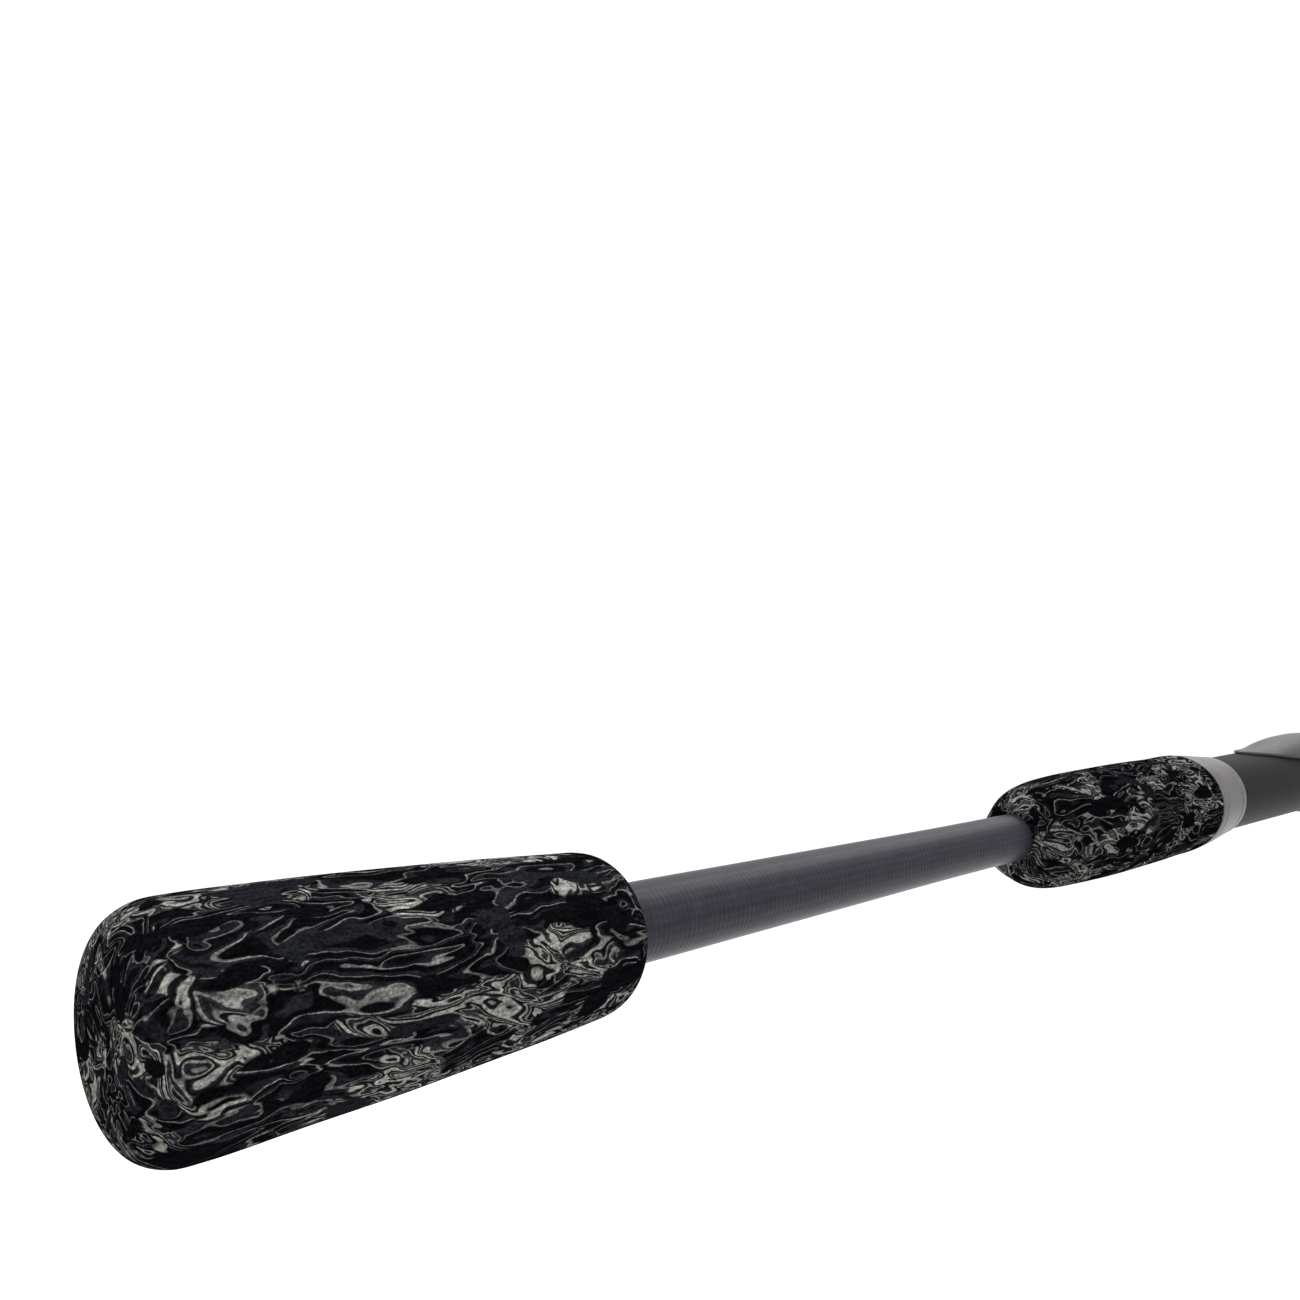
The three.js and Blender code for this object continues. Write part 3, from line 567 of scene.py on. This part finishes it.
# ---------------------------------------------------------------------- grips
def grip(node, outer, bore_from, bore_to, material, step=0.5, segments=180, axis_start=False, lift=0.0):
    p = spline(outer, step)
    a = np.arange(segments) / segments * TAU
    bore_x = np.linspace(bore_to, bore_from, 24)
    gap = 0.03
    inner = np.stack([bore_x, butt_r(bore_x) + gap], 1)
    rows = np.vstack([p, inner] + ([[[bore_from, 0.0]]] if axis_start else []))
    X = np.repeat(rows[:, :1], segments, 1)
    R = np.repeat(rows[:, 1:], segments, 1)
    # the foam is ground to shape by hand, so it isn't perfectly true
    n = len(p)
    x = rows[:n, 0][:, None]
    wobble = (0.040 * np.sin(x / 9.3 + 2.1 * np.sin(a)[None] + 0.6) + 0.028 * np.sin(x / 4.1 - 3 * a[None] + 1.3)
              + 0.018 * np.sin(5 * a[None] + x / 13.0))
    fade = smoothstep(0, 9, rows[:n, 1])[:, None] * smoothstep(0, 6, np.arange(n)[::-1])[:, None]
    R[:n] += wobble * fade
    P = np.stack([X, R * np.sin(a)[None], -R * np.cos(a)[None]], -1)
    P[:n, :, 2] += lift * smoothstep(5.4, 8.2, R[:n])
    b = Build()
    b.grid(P, wrap_v=not axis_start)
    o = piece(b, node, "butt_section", material, 60)
    return o


grip("butt_grip", [(0, 0), (0, 4.2), (0.0, 8.4), (0.7, 11.4), (2.4, 13.8), (5.2, 15.2), (9.1, 15.45), (22.6, 15.03), (34.6, 14.57),
                   (42.6, 14.13), (50.6, 13.6), (58.6, 13.05), (66.6, 12.43), (69.1, 12.2), (71.2, 11.65), (73.0, 10.5), (74.2, 9.0),
                   (74.8, 7.8), (75.0, 6.5)], 6.0, 75.0, M_EVA_BUTT, axis_start=True)
grip("rear_grip", [(183.4, 5.2), (183.4, 6.4), (184.8, 7.9), (188.6, 9.75), (190.6, 10.65), (194.6, 11.35), (202.6, 11.82), (210.6, 12.02),
                   (218.6, 12.1), (226.6, 12.06), (234.6, 11.95), (244.6, 11.75), (255.3, 11.52), (255.9, 11.1), (255.9, 8.0), (255.9, 5.2)],
     183.4, 255.9, M_EVA_REAR, lift=SEAT_Z)
grip("fore_grip", [(415.5, 4.9), (415.5, 7.5), (415.5, 9.6), (416.0, 10.0), (419.1, 10.35), (428, 10.2), (440, 9.4), (453, 7.95),
                   (460, 6.9), (461.8, 6.3), (462, 5.6), (462, 4.9)], 415.5, 462.0, M_EVA_FORE)


# ------------------------------------------------------- trim rings and checks
def sleeve(node, body, outer, r, gap, material, segments=128, lift=0.0):
    x0, x1 = outer[0][0], outer[-1][0]
    rows = rounded(outer, 5)
    bx = np.linspace(x1, x0, 8)
    inner = np.stack([bx, r(bx) + gap], 1)

    def place(P):
        Q = P.copy()
        Q[..., 2] += lift * smoothstep(5.4, 8.2, np.hypot(P[..., 1], P[..., 2]))
        return Q
    return piece(Build().lathe(np.vstack([rows, inner]), segments, place=place), node, body, material)


sleeve("trim_ring", "butt_section", [
    (256.2, 5.2), (256.2, 11.38, 0.35), (256.9, 11.44, 0.4), (258.0, 11.38, 0.12), (258.2, 11.20, 0.10), (258.6, 11.18, 0.10),
    (258.8, 11.30, 0.12), (260.5, 11.17, 1.0), (264.0, 10.72, 1.6), (268.4, 10.24, 0.3), (268.6, 10.08, 0.1), (269.1, 10.04, 0.1),
    (269.3, 10.14, 0.12), (271.7, 9.90, 0.4), (272.1, 9.4, 0.3), (272.1, 5.2)], butt_r, 0.04, M_TRIM, lift=SEAT_Z)
sleeve("winding_check", "butt_section", [
    (462.4, 4.6), (462.4, 6.55, 0.25), (463.3, 6.72, 0.5), (464.9, 6.55, 0.8), (465.4, 6.1, 0.2), (465.7, 5.95, 0.2),
    (466.5, 5.6, 0.6), (467.4, 5.0, 0.3), (467.4, 4.5)], butt_r, 0.04, M_TRIM)

# ----------------------------------------------------------------- reel seat
SEAT_A = np.sort(np.concatenate([
    np.arange(160) / 160 * TAU,
    math.pi + np.array([-1, 1]) * math.radians(12.9), math.pi + np.array([-1, 1]) * math.radians(12.3),
]))
COS, SIN = np.cos(SEAT_A), np.sin(SEAT_A)
with np.errstate(divide="ignore"):
    DOWN = np.where(COS > 0.05, 1 / np.maximum(COS, 0.05), 1e3)
    UP = np.where(COS < -0.05, 1 / np.maximum(-COS, 0.05), 1e3)


def seat_rows():
    x = np.unique(np.concatenate([
        np.arange(272.5, 344.5, 1.2), np.arange(344.6, 415.1, 0.16), np.array([272.5, 272.7, 272.9, 273.2, 273.6, 415.1]),
        *[np.array([v - 0.06, v + 0.06]) for v in (311.5, 331.0, 345.5, 357.7, 384.5, 412.9)],
    ]))
    X = x[:, None]
    # rounded thread, 2 mm pitch
    turn = (X - 347.0) / 2.0 - SEAT_A[None] / TAU
    t = np.abs((turn % 1.0) - 0.5) * 2
    height = 0.52 * smoothstep(345.4, 347.4, X) * smoothstep(415.0, 413.0, X)
    body = 7.02 + height * smoothstep(0.22, 0.80, t)
    R = body + (9.28 - body) * smoothstep(345.5, 344.7, X)
    R = R - 0.5 * (1 - smoothstep(272.5, 273.6, X)) ** 2
    bed = np.where((X > 311.5) & (X < 384.5), np.where((X > 331.0) & (X < 357.7), 6.4, 6.1), 99.0)
    R = np.minimum(R, bed * DOWN[None])
    key = (X > 345.5) & (X < 412.9) & (np.abs(R * SIN[None]) < 1.62) & (COS[None] < 0)
    return x, np.where(key, np.minimum(R, 6.7 * UP[None]), R)


xs, R = seat_rows()
ix = np.linspace(415.1, 272.5, 12)
inner = np.full((len(ix), len(SEAT_A)), 5.92)
piece(Build().polar(np.concatenate([xs, ix]), np.vstack([R, inner]), SEAT_A, lift=SEAT_Z), "seat_body", "butt_section", M_SEAT, 42)

# lock nut: fluted grip with a smooth collar towards the hood
a = np.arange(288) / 288 * TAU
prof = rounded([(382.3, 7.90), (382.3, 8.35, 0.3), (382.9, 8.72, 0.4), (387.1, 8.72, 0.2), (387.6, 8.60, 0.2), (388.1, 8.98, 0.3),
                (403.4, 8.98, 0.4), (404.9, 8.76, 0.5), (405.5, 8.25, 0.3), (405.5, 7.90)], 5)
prof = np.vstack([resample(prof[k:k + 2], 0.35) for k in range(len(prof) - 1)])
x = prof[:, 0][:, None]
flute = np.clip(np.cos(a * 26)[None] * 0.5 + 0.5, 0, 1) ** 2.2
grip_zone = smoothstep(388.4, 389.8, x) * smoothstep(403.2, 401.8, x)
R = prof[:, 1][:, None] - 0.34 * flute * grip_zone
ring = np.exp(-((x - 395.8) / 0.32) ** 2)
R = R - 0.28 * ring * smoothstep(8.9, 8.95, prof[:, 1])[:, None] * (1 - flute)
ix = np.arange(405.5, 382.29, -0.2)[:, None]
thread = 7.82 + 0.22 * smoothstep(0.25, 0.85, np.abs((((ix - 347.0) / 2.0 - a[None] / TAU) % 1.0) - 0.5) * 2)
piece(Build().polar(np.concatenate([prof[:, 0], ix[:, 0]]), np.vstack([R, thread]), a, lift=SEAT_Z), "lock_nut", "lock_nut", M_NUT, 45)


def hood(node, body, closed, mouth, ring, lump, bore, wall, slant=None, key=False):
    """A round collar of radius ring(x) with a bulge over the foot that reaches lump(x).
    closed and mouth are its two ends, and wall is where its pocket stops."""
    s = 1 if mouth > closed else -1
    a = np.arange(216) / 216 * TAU
    c, sn = np.cos(a)[None], np.sin(a)[None]

    def arched(q):
        A = sn ** 2 / (1.2 * q) ** 2 + c ** 2 / q ** 2
        B = -2 * 4.6 * c / q ** 2
        C = 4.6 ** 2 / q ** 2 - 1
        d = B * B - 4 * A * C
        return np.where(d > 0, (-B + np.sqrt(np.maximum(d, 0))) / (2 * A), 0)

    def outside(X):
        r, b, k = ring(X), arched(np.maximum(lump(X) - 4.6, 0.4)), 0.5
        h = np.clip(0.5 + 0.5 * (b - r) / k, 0, 1)
        return r * (1 - h) + b * h + k * h * (1 - h)
    start = np.full_like(c, float(closed))
    if slant is not None:
        # this end is cut along a line given by height above the axis, slant[0], and x, slant[1]
        lo_x, hi_x = np.full_like(c, 286.0), np.full_like(c, 328.0)
        for _ in range(44):
            start = (lo_x + hi_x) / 2
            early = start < np.interp(outside(start) * c, slant[0], slant[1])
            lo_x, hi_x = np.where(early, start, lo_x), np.where(early, hi_x, start)
    span = (mouth - start) * s
    near = np.array([0, 0.04, 0.10, 0.2, 0.34, 0.5, 0.7])[:, None]
    body_rows = np.linspace(0, 1, 60)[1:-1, None] * (span - 1.4) + 0.7
    E = np.vstack([near + 0 * span, body_rows, span - near[::-1]])
    X = start + s * E
    outer = outside(X)
    soft0 = 1 - np.sqrt(np.clip(1 - np.clip((0.7 - E) / 0.7, 0, 1) ** 2, 0, 1))
    soft1 = 1 - np.sqrt(np.clip(1 - np.clip((0.7 - (span - E)) / 0.7, 0, 1) ** 2, 0, 1))
    groove = np.exp(-((X - (mouth - s * 3.4)) / 0.28) ** 2) * 0.15
    outer = outer - (0.40 if slant is not None else 0.2) * soft0 - 0.2 * soft1 - groove
    # inside: the bore, and the arched pocket under the bulge
    side = 6.2 / np.maximum(np.abs(sn), 1e-3)
    pocket = np.maximum(bore, np.where(c > 0, np.minimum(arched(np.array([[6.4]])), side), 0))
    plain = np.full_like(pocket, bore)
    if key:
        slot_in = (np.abs(7.3 * sn) < 1.3) & (c < 0)
        plain = np.where(slot_in, 7.05 / np.maximum(-c, 0.5), plain)
        pocket = np.where(slot_in, 7.05 / np.maximum(-c, 0.5), pocket)
    keep = start + s * 0.02
    limit = (lambda v: np.maximum(v, keep)) if s > 0 else (lambda v: np.minimum(v, keep))
    ix, rows_in = [], []
    for d, l in ((0.0, 0.10), (0.12, 0.04), (0.3, 0.0)):
        ix.append(limit(mouth - s * d + 0 * c))
        rows_in.append(pocket + l)
    for xx in np.linspace(mouth - s * 1.2, wall, 10):
        ix.append(limit(xx + 0 * c))
        rows_in.append(pocket)
    for t in np.linspace(0, 1, 5):
        ix.append(limit(wall + (keep - wall) * t))
        rows_in.append(plain)
    return piece(Build().polar(np.vstack([X] + ix), np.vstack([outer] + rows_in), a, lift=SEAT_Z), node, body, M_HOOD, 40)


hood("sliding_hood", "sliding_hood", 381.5, 359.0,
     monotone([(359, 10.3), (360, 10.42), (362, 10.5), (377.9, 10.5), (379.6, 10.36), (380.8, 9.9), (381.5, 9.0)]),
     monotone([(359, 11.9), (360.5, 12.05), (362, 12.1), (376, 12.1), (379, 11.2), (381.5, 9.5)]), 7.86, 377.5, key=True)
hood("fixed_hood", "butt_section", 288.0, 330.0,
     monotone([(286, 10.0), (329.4, 10.2), (330, 10.15)]),
     monotone([(286, 8.7), (288, 8.9), (294.6, 9.6), (300.6, 10.35), (306.6, 11.15), (310.6, 11.55), (316.6, 11.9), (324.6, 12.0), (330, 11.78)]),
     9.38, 311.6, slant=([-13, 3, 4.6, 6, 7, 10.2], [327, 325.5, 324.3, 321.6, 314.5, 287.6]))


# ---------------------------------------------------------------- thread wraps
def wrap(node, body, r, x0, x1, foot=None, thick=0.42, ends=(1.6, 1.6), segments=72, step=0.25):
    """foot is (x of its thin end, x of its thick end, half width, height, gap under it)."""
    n = max(12, int((x1 - x0) / step))
    x = np.unique(np.concatenate([np.linspace(x0, x1, n), x0 + np.array([0, .05, .12, .25, .45]), x1 - np.array([0, .05, .12, .25, .45])]))
    a = (np.arange(segments) / segments * TAU + math.pi) % TAU - math.pi
    a = np.roll(np.sort(a), 0)
    base = r(x)[:, None] + 0 * a[None]
    if foot is not None:
        xa, xb, fw, fh, gap = foot
        s = 1 if xb > xa else -1
        ramp = smoothstep(-0.2, 3.2, s * (x - xa))
        W = fw * (0.55 + 0.45 * smoothstep(0, 7, s * (x - xa)))
        rr = r(x)
        H = rr + (gap + fh * (0.35 + 0.65 * smoothstep(0, 8, s * (x - xa)))) * ramp
        f1 = np.arctan(W / H)
        dC = np.hypot(W, H)
        ft = f1 + np.arccos(np.clip(rr / dC, -1, 1))
        A = np.abs(a)[None]
        hull = np.where(A <= f1[:, None], H[:, None] / np.cos(np.minimum(A, 1.2)),
                        np.where(A <= ft[:, None], rr[:, None] / np.maximum(np.cos(ft[:, None] - A), 0.2), rr[:, None]))
        hull = np.where(ramp[:, None] > 0, np.maximum(hull, rr[:, None]), rr[:, None])
        # epoxy rounds the corners off
        soft = hull.copy()
        for _ in range(3):
            soft = (np.roll(soft, 1, 1) + 2 * soft + np.roll(soft, -1, 1)) / 4
        base = np.maximum(soft, hull)
    d0, d1 = x - x0, x1 - x
    e0 = np.sqrt(np.clip(1 - ((ends[0] - np.minimum(d0, ends[0])) / ends[0]) ** 2, 0, 1))
    e1 = np.sqrt(np.clip(1 - ((ends[1] - np.minimum(d1, ends[1])) / ends[1]) ** 2, 0, 1))
    T = 0.05 + (thick - 0.05) * np.minimum(e0, e1) * (1 + 0.05 * np.sin((x - x0) * TAU / max(6.0, (x1 - x0) / 3)))
    outer = base + T[:, None]
    ix = x[::-1]
    inner = base[::-1] + 0.02
    return piece(Build().polar(np.concatenate([x, ix]), np.vstack([outer, inner]), a), node, body, M_WRAP, 60)


wrap("butt_ferrule_wrap", "butt_section", butt_r, 872, 903)
wrap("tip_ferrule_wrap", "tip_section", tip_r, 916.2, 955)
wrap("tip_top_wrap", "tip_section", tip_r, 1795, 1805.9, thick=0.5, ends=(2.4, 1.2), segments=56)


# --------------------------------------------------------------------- guides
def ring_profile(ro, ri, half, n=40):
    rc, hr = (ro + ri) / 2, (ro - ri) / 2
    t = np.arange(n) / n * TAU
    c, s = np.cos(t), np.sin(t)
    e = 2 / 2.6
    return np.stack([half * np.sign(s) * np.abs(s) ** e, rc + hr * np.sign(c) * np.abs(c) ** e], 1)


def local(x, drop, tilt):
    t = math.radians(tilt)
    ax, up = np.array([math.cos(t), 0, -math.sin(t)]), np.array([math.sin(t), 0, math.cos(t)])
    origin = np.array([x, 0, -drop])

    def place(P):
        return origin + P[..., 0:1] * ax + P[..., 1:2] * np.array([0, 1.0, 0]) + P[..., 2:3] * up
    return place


def guide(g, body, r):
    name, x, drop, ro, ri, wire, foot = (g[k] for k in ("name", "x", "drop", "ro", "ri", "wire", "foot"))
    place = local(x, drop, g["tilt"])
    half = max(0.75, ro * 0.13)
    big = ro > 7
    piece(Build().lathe(ring_profile(ro, ri, half), 144 if big else 96, place=place), name + "_ring", body, M_CERAMIC, 60)
    h0, h1, hh = ro + 0.05, ro + 0.2 + wire, half + 0.1
    b = Build()
    hoop = rounded([(-hh, h0, 0.1), (-hh, h1 - 0.12, 0.35), (0, h1, 0.6), (hh, h1 - 0.12, 0.35), (hh, h0, 0.1)], 5, closed=True)
    b.lathe(hoop, 144 if big else 96, place=place)
    hm = (h0 + h1) / 2

    def on(angle, axial=0.0, radius=hm):
        return place(np.array([axial, radius * math.sin(angle), radius * math.cos(angle)]))
    start = x - (ro * 1.35 + 1.2 if g["feet"] == 2 else ro * 0.75 + 1.5)
    fh, fw = wire * 1.05, wire * 1.5

    def foot_bar(xa, xb):
        """A foot ground thin towards its free end xa, lying along the blank."""
        s = 1 if xb > xa else -1
        t = np.linspace(0, 1, 40)
        xs = xa + (xb - xa) * t
        d = np.abs(xs - xa)
        hgt = fh * (0.35 + 0.65 * smoothstep(0, 8, d)) / 2 * 0.96
        wid = fw * (0.55 + 0.45 * smoothstep(0, 7, d)) * 0.96
        top = -(r(xs) + 0.20)
        path = np.stack([xs, 0 * xs, top - hgt], 1)
        b.sweep(path, wid, hgt, power=3.2, sides=20)
    foot_bar(start - foot, start + 0.5)
    rb = float(r(start - foot / 2))
    top = -(float(r(start)) + 0.20)
    a_leg = 1.15 if g["feet"] == 2 else 1.25
    for side in (-1, 1):
        end = on(side * a_leg, -hh * 0.25)
        knee = [start - 1.1, side * fw * 0.42, top - fh * 0.5]
        path = spline([knee, [start + 0.2, side * fw * 0.52, top - fh * 0.55],
                       [start + (end[0] - start) * 0.42, side * (fw * 0.5 + abs(end[1]) * 0.32), top - fh * 0.5 + (end[2] - top) * 0.22],
                       [start + (end[0] - start) * 0.80, end[1] * 0.86, top + (end[2] - top) * 0.68], end], wire * 0.35)
        n = len(path)
        t = np.linspace(0, 1, n)
        w = wire * (0.80 - 0.22 * t)
        b.sweep(path, w, wire * (0.56 - 0.04 * t), up=(0, 0, 1), power=2.6, sides=18)
    # web between the legs, where the frame is stamped from one sheet
    web = spline([[start - 0.4, 0, top - fh * 0.5], [start + 0.8, 0, top - fh * 0.75], [start + (x - start) * 0.30, 0, top - fh * 1.35]], wire * 0.3)
    b.sweep(web, np.linspace(fw * 0.80, wire * 1.1, len(web)), wire * 0.42, power=2.6, sides=18)
    spans = [(start - foot - 4.5, start - 1.35, True, (start - foot, start + 0.5))]
    if g["feet"] == 2:
        front = x + ro + 1.5
        foot_bar(front + foot, front - 0.5)
        top2 = -(float(r(front)) + 0.20)
        for side in (-1, 1):
            end = on(side * 0.42, hh * 0.2)
            path = spline([[front + 1.4, side * fw * 0.40, top2 - fh * 0.5], [front + 0.2, side * fw * 0.45, top2 - fh * 0.55],
                           [(front + end[0]) / 2, end[1] * 0.7, (top2 + end[2]) / 2 - 0.5], end], wire * 0.35)
            t = np.linspace(0, 1, len(path))
            b.sweep(path, wire * (0.74 - 0.16 * t), wire * (0.54 - 0.02 * t), up=(0, 0, 1), power=2.6, sides=18)
        spans.append((front + 1.35, front + foot + 4.5, False, (front + foot, front - 0.5)))
    piece(b, name + "_frame", body, M_GUIDE if big else M_GUIDE_BLACK, 50)
    for i, (xa, xb, rear, ft) in enumerate(spans):
        label = name + "_wrap" if len(spans) == 1 else f"{name}_wrap_{'front' if i else 'rear'}"
        wrap(label, body, r, xa, xb, foot=(ft[0], ft[1], fw, fh, 0.22), ends=(1.8, 0.7) if rear else (0.7, 1.8))


guide(GUIDES[0], "butt_section", butt_r)
for g in GUIDES[1:]:
    guide(g, "tip_section", tip_r)

# tip-top
place = local(RING["x"], RING["drop"], RING["tilt"])
ro, ri = RING["ro"], RING["ri"]
piece(Build().lathe(ring_profile(ro, ri, 0.8), 96, place=place), "tip_top_ring", "tip_section", M_CERAMIC, 60)
b = Build()
hoop = rounded([(-0.9, ro + 0.05, 0.1), (-0.9, ro + 0.55, 0.25), (0, ro + 0.72, 0.5), (0.9, ro + 0.55, 0.25), (0.9, ro + 0.05, 0.1)], 5, closed=True)
b.lathe(hoop, 96, place=place)
tube = [(1806.2, float(tip_r(1806.2)) + 0.05), (1806.2, 1.22, 0.08), (1806.5, 1.29, 0.1)]
for k in range(9):
    c = 1807.4 + k * 0.95
    tube += [(c, 1.27, 0.1), (c + 0.14, 1.22, 0.1), (c + 0.28, 1.27, 0.1)]
tube += [(1817.9, 1.24, 0.4), (1818.6, 0.95, 0.3), (1818.6, 0.0)]
tube = list(rounded(tube, 4)) + [np.array([1817.4, 0.0]), np.array([1817.4, float(tip_r(1817)) + 0.10])]
b.lathe(np.vstack([tube, [[1806.2, float(tip_r(1806.2)) + 0.05]]]), 64, loop=False)


def on_tip(angle, radius, axial=0.0):
    return place(np.array([axial, radius * math.sin(angle), radius * math.cos(angle)]))


for side in (-1, 1):
    path = spline([[1809.6, side * 0.62, -1.05], [1811.4, side * 0.80, -1.25], [1814.8, side * 1.3, -3.0], [1818.4, side * 2.0, -5.0],
                   on_tip(side * 2.25, ro + 0.5, -0.2)], 0.2)
    b.sweep(path, 0.36, 0.36, sides=14)
    path = spline([[1816.2, side * 0.60, -0.25], [1817.4, side * 0.75, -0.1], [1819.9, side * 1.4, -0.3], [1822.6, side * 0.85, -0.45],
                   [1824.4, side * 0.7, -0.55], on_tip(side * 0.24, ro + 0.62, -0.4)], 0.2)
    b.sweep(path, 0.34, 0.32, sides=14)
piece(b, "tip_top_frame", "tip_section", M_STEEL, 50)

# hook keeper
z0 = -(float(butt_r(489)) + 0.62)
b = Build()
path = spline([[475.5, 0, z0], [479, 0, z0], [482.6, 0, z0], [484.2, 0, z0 - 0.4], [485.6, 0, z0 - 1.6], [488.6, 0, z0 - 3.2], [491.6, 0, z0 - 1.6],
               [493.0, 0, z0 - 0.4], [494.6, 0, z0], [498, 0, z0], [501.7, 0, z0]], 0.3)
t = np.linspace(0, 1, len(path))
flat = 1 - smoothstep(0.0, 0.16, t) * smoothstep(1.0, 0.84, t)
b.sweep(path, 0.4 + 0.12 * flat, 0.4 - 0.16 * flat, sides=16)
piece(b, "hook_keeper", "butt_section", M_GUIDE, 60)
for node, xa, xb, ft in (("keeper_wrap_rear", 472.0, 483.2, (475.2, 483.4)), ("keeper_wrap_front", 494.0, 505.2, (502.0, 493.8))):
    wrap(node, "butt_section", butt_r, xa, xb, foot=(ft[0], ft[1], 0.52, 0.88, 0.20), thick=0.42,
         ends=(1.6, 0.6) if node.endswith("rear") else (0.6, 1.6))

# ---------------------------------------------------------------------- stage
floor_mat = Shader("floor_white", roughness=0.95, ior_level=0.05)
floor_mat.m.node_tree.nodes["Principled BSDF"].inputs["Base Color"].default_value = (0.975, 0.975, 0.975, 1.0)
a = np.arange(64) / 64 * TAU
rad = np.array([0.001, 0.5, 1.0, 2.0, 4.0, 8.0, 16.0, 40.0])[:, None]
P = np.stack([0.9 + rad * np.cos(a)[None], rad * np.sin(a)[None], -0.55 + 0 * rad * a[None]], -1) / MM
floor = Build().grid(P).make("stage_floor", floor_mat.m, 60, turn=(1, 1, 1))


def area(name, location, target, size, watts, colour=(1, 1, 1)):
    d = bpy.data.lights.new(name, "AREA")
    d.shape = "RECTANGLE"
    d.size, d.size_y = size
    d.energy = watts
    d.color = colour
    o = bpy.data.objects.new(name, d)
    bpy.context.scene.collection.objects.link(o)
    o.location = location
    o.rotation_mode = "QUATERNION"
    o.rotation_quaternion = (Vector(target) - Vector(location)).to_track_quat("-Z", "Y")
    return o


area("softbox_top", (0.35, 0.10, 0.95), (0.35, 0.0, 0.0), (2.6, 0.9), 22)
area("softbox_front", (0.7, -1.7, 0.9), (0.6, 0.0, -0.05), (1.6, 0.8), 12)
world = bpy.data.worlds.new("studio")
bpy.context.scene.world = world
world.use_nodes = True
bg = world.node_tree.nodes["Background"]
bg.inputs[0].default_value = (1, 1, 1, 1)
bg.inputs[1].default_value = 1.08
bpy.context.scene.view_settings.view_transform = "Standard"
bpy.context.scene.view_settings.look = "None"
bpy.context.scene.view_settings.exposure = 0.0

# --------------------------------------------------------------------- camera
cam = bpy.data.cameras.new("camera")
cam.sensor_width = 36.0
cam.lens = 36.0
cam.clip_start = 0.01
cam.clip_end = 100.0
cam.dof.use_dof = False
co = bpy.data.objects.new("camera", cam)
bpy.context.scene.collection.objects.link(co)
right = Vector((0.74423, -0.66793, 0.0)).normalized()
ahead = Vector((0.66724, 0.74346, -0.04536)).normalized()
up = right.cross(ahead).normalized()
co.matrix_world = Matrix((
    (right.x, up.x, -ahead.x, -0.05034), (right.y, up.y, -ahead.y, -0.14850), (right.z, up.z, -ahead.z, 0.05091), (0, 0, 0, 1)))
bpy.context.scene.camera = co
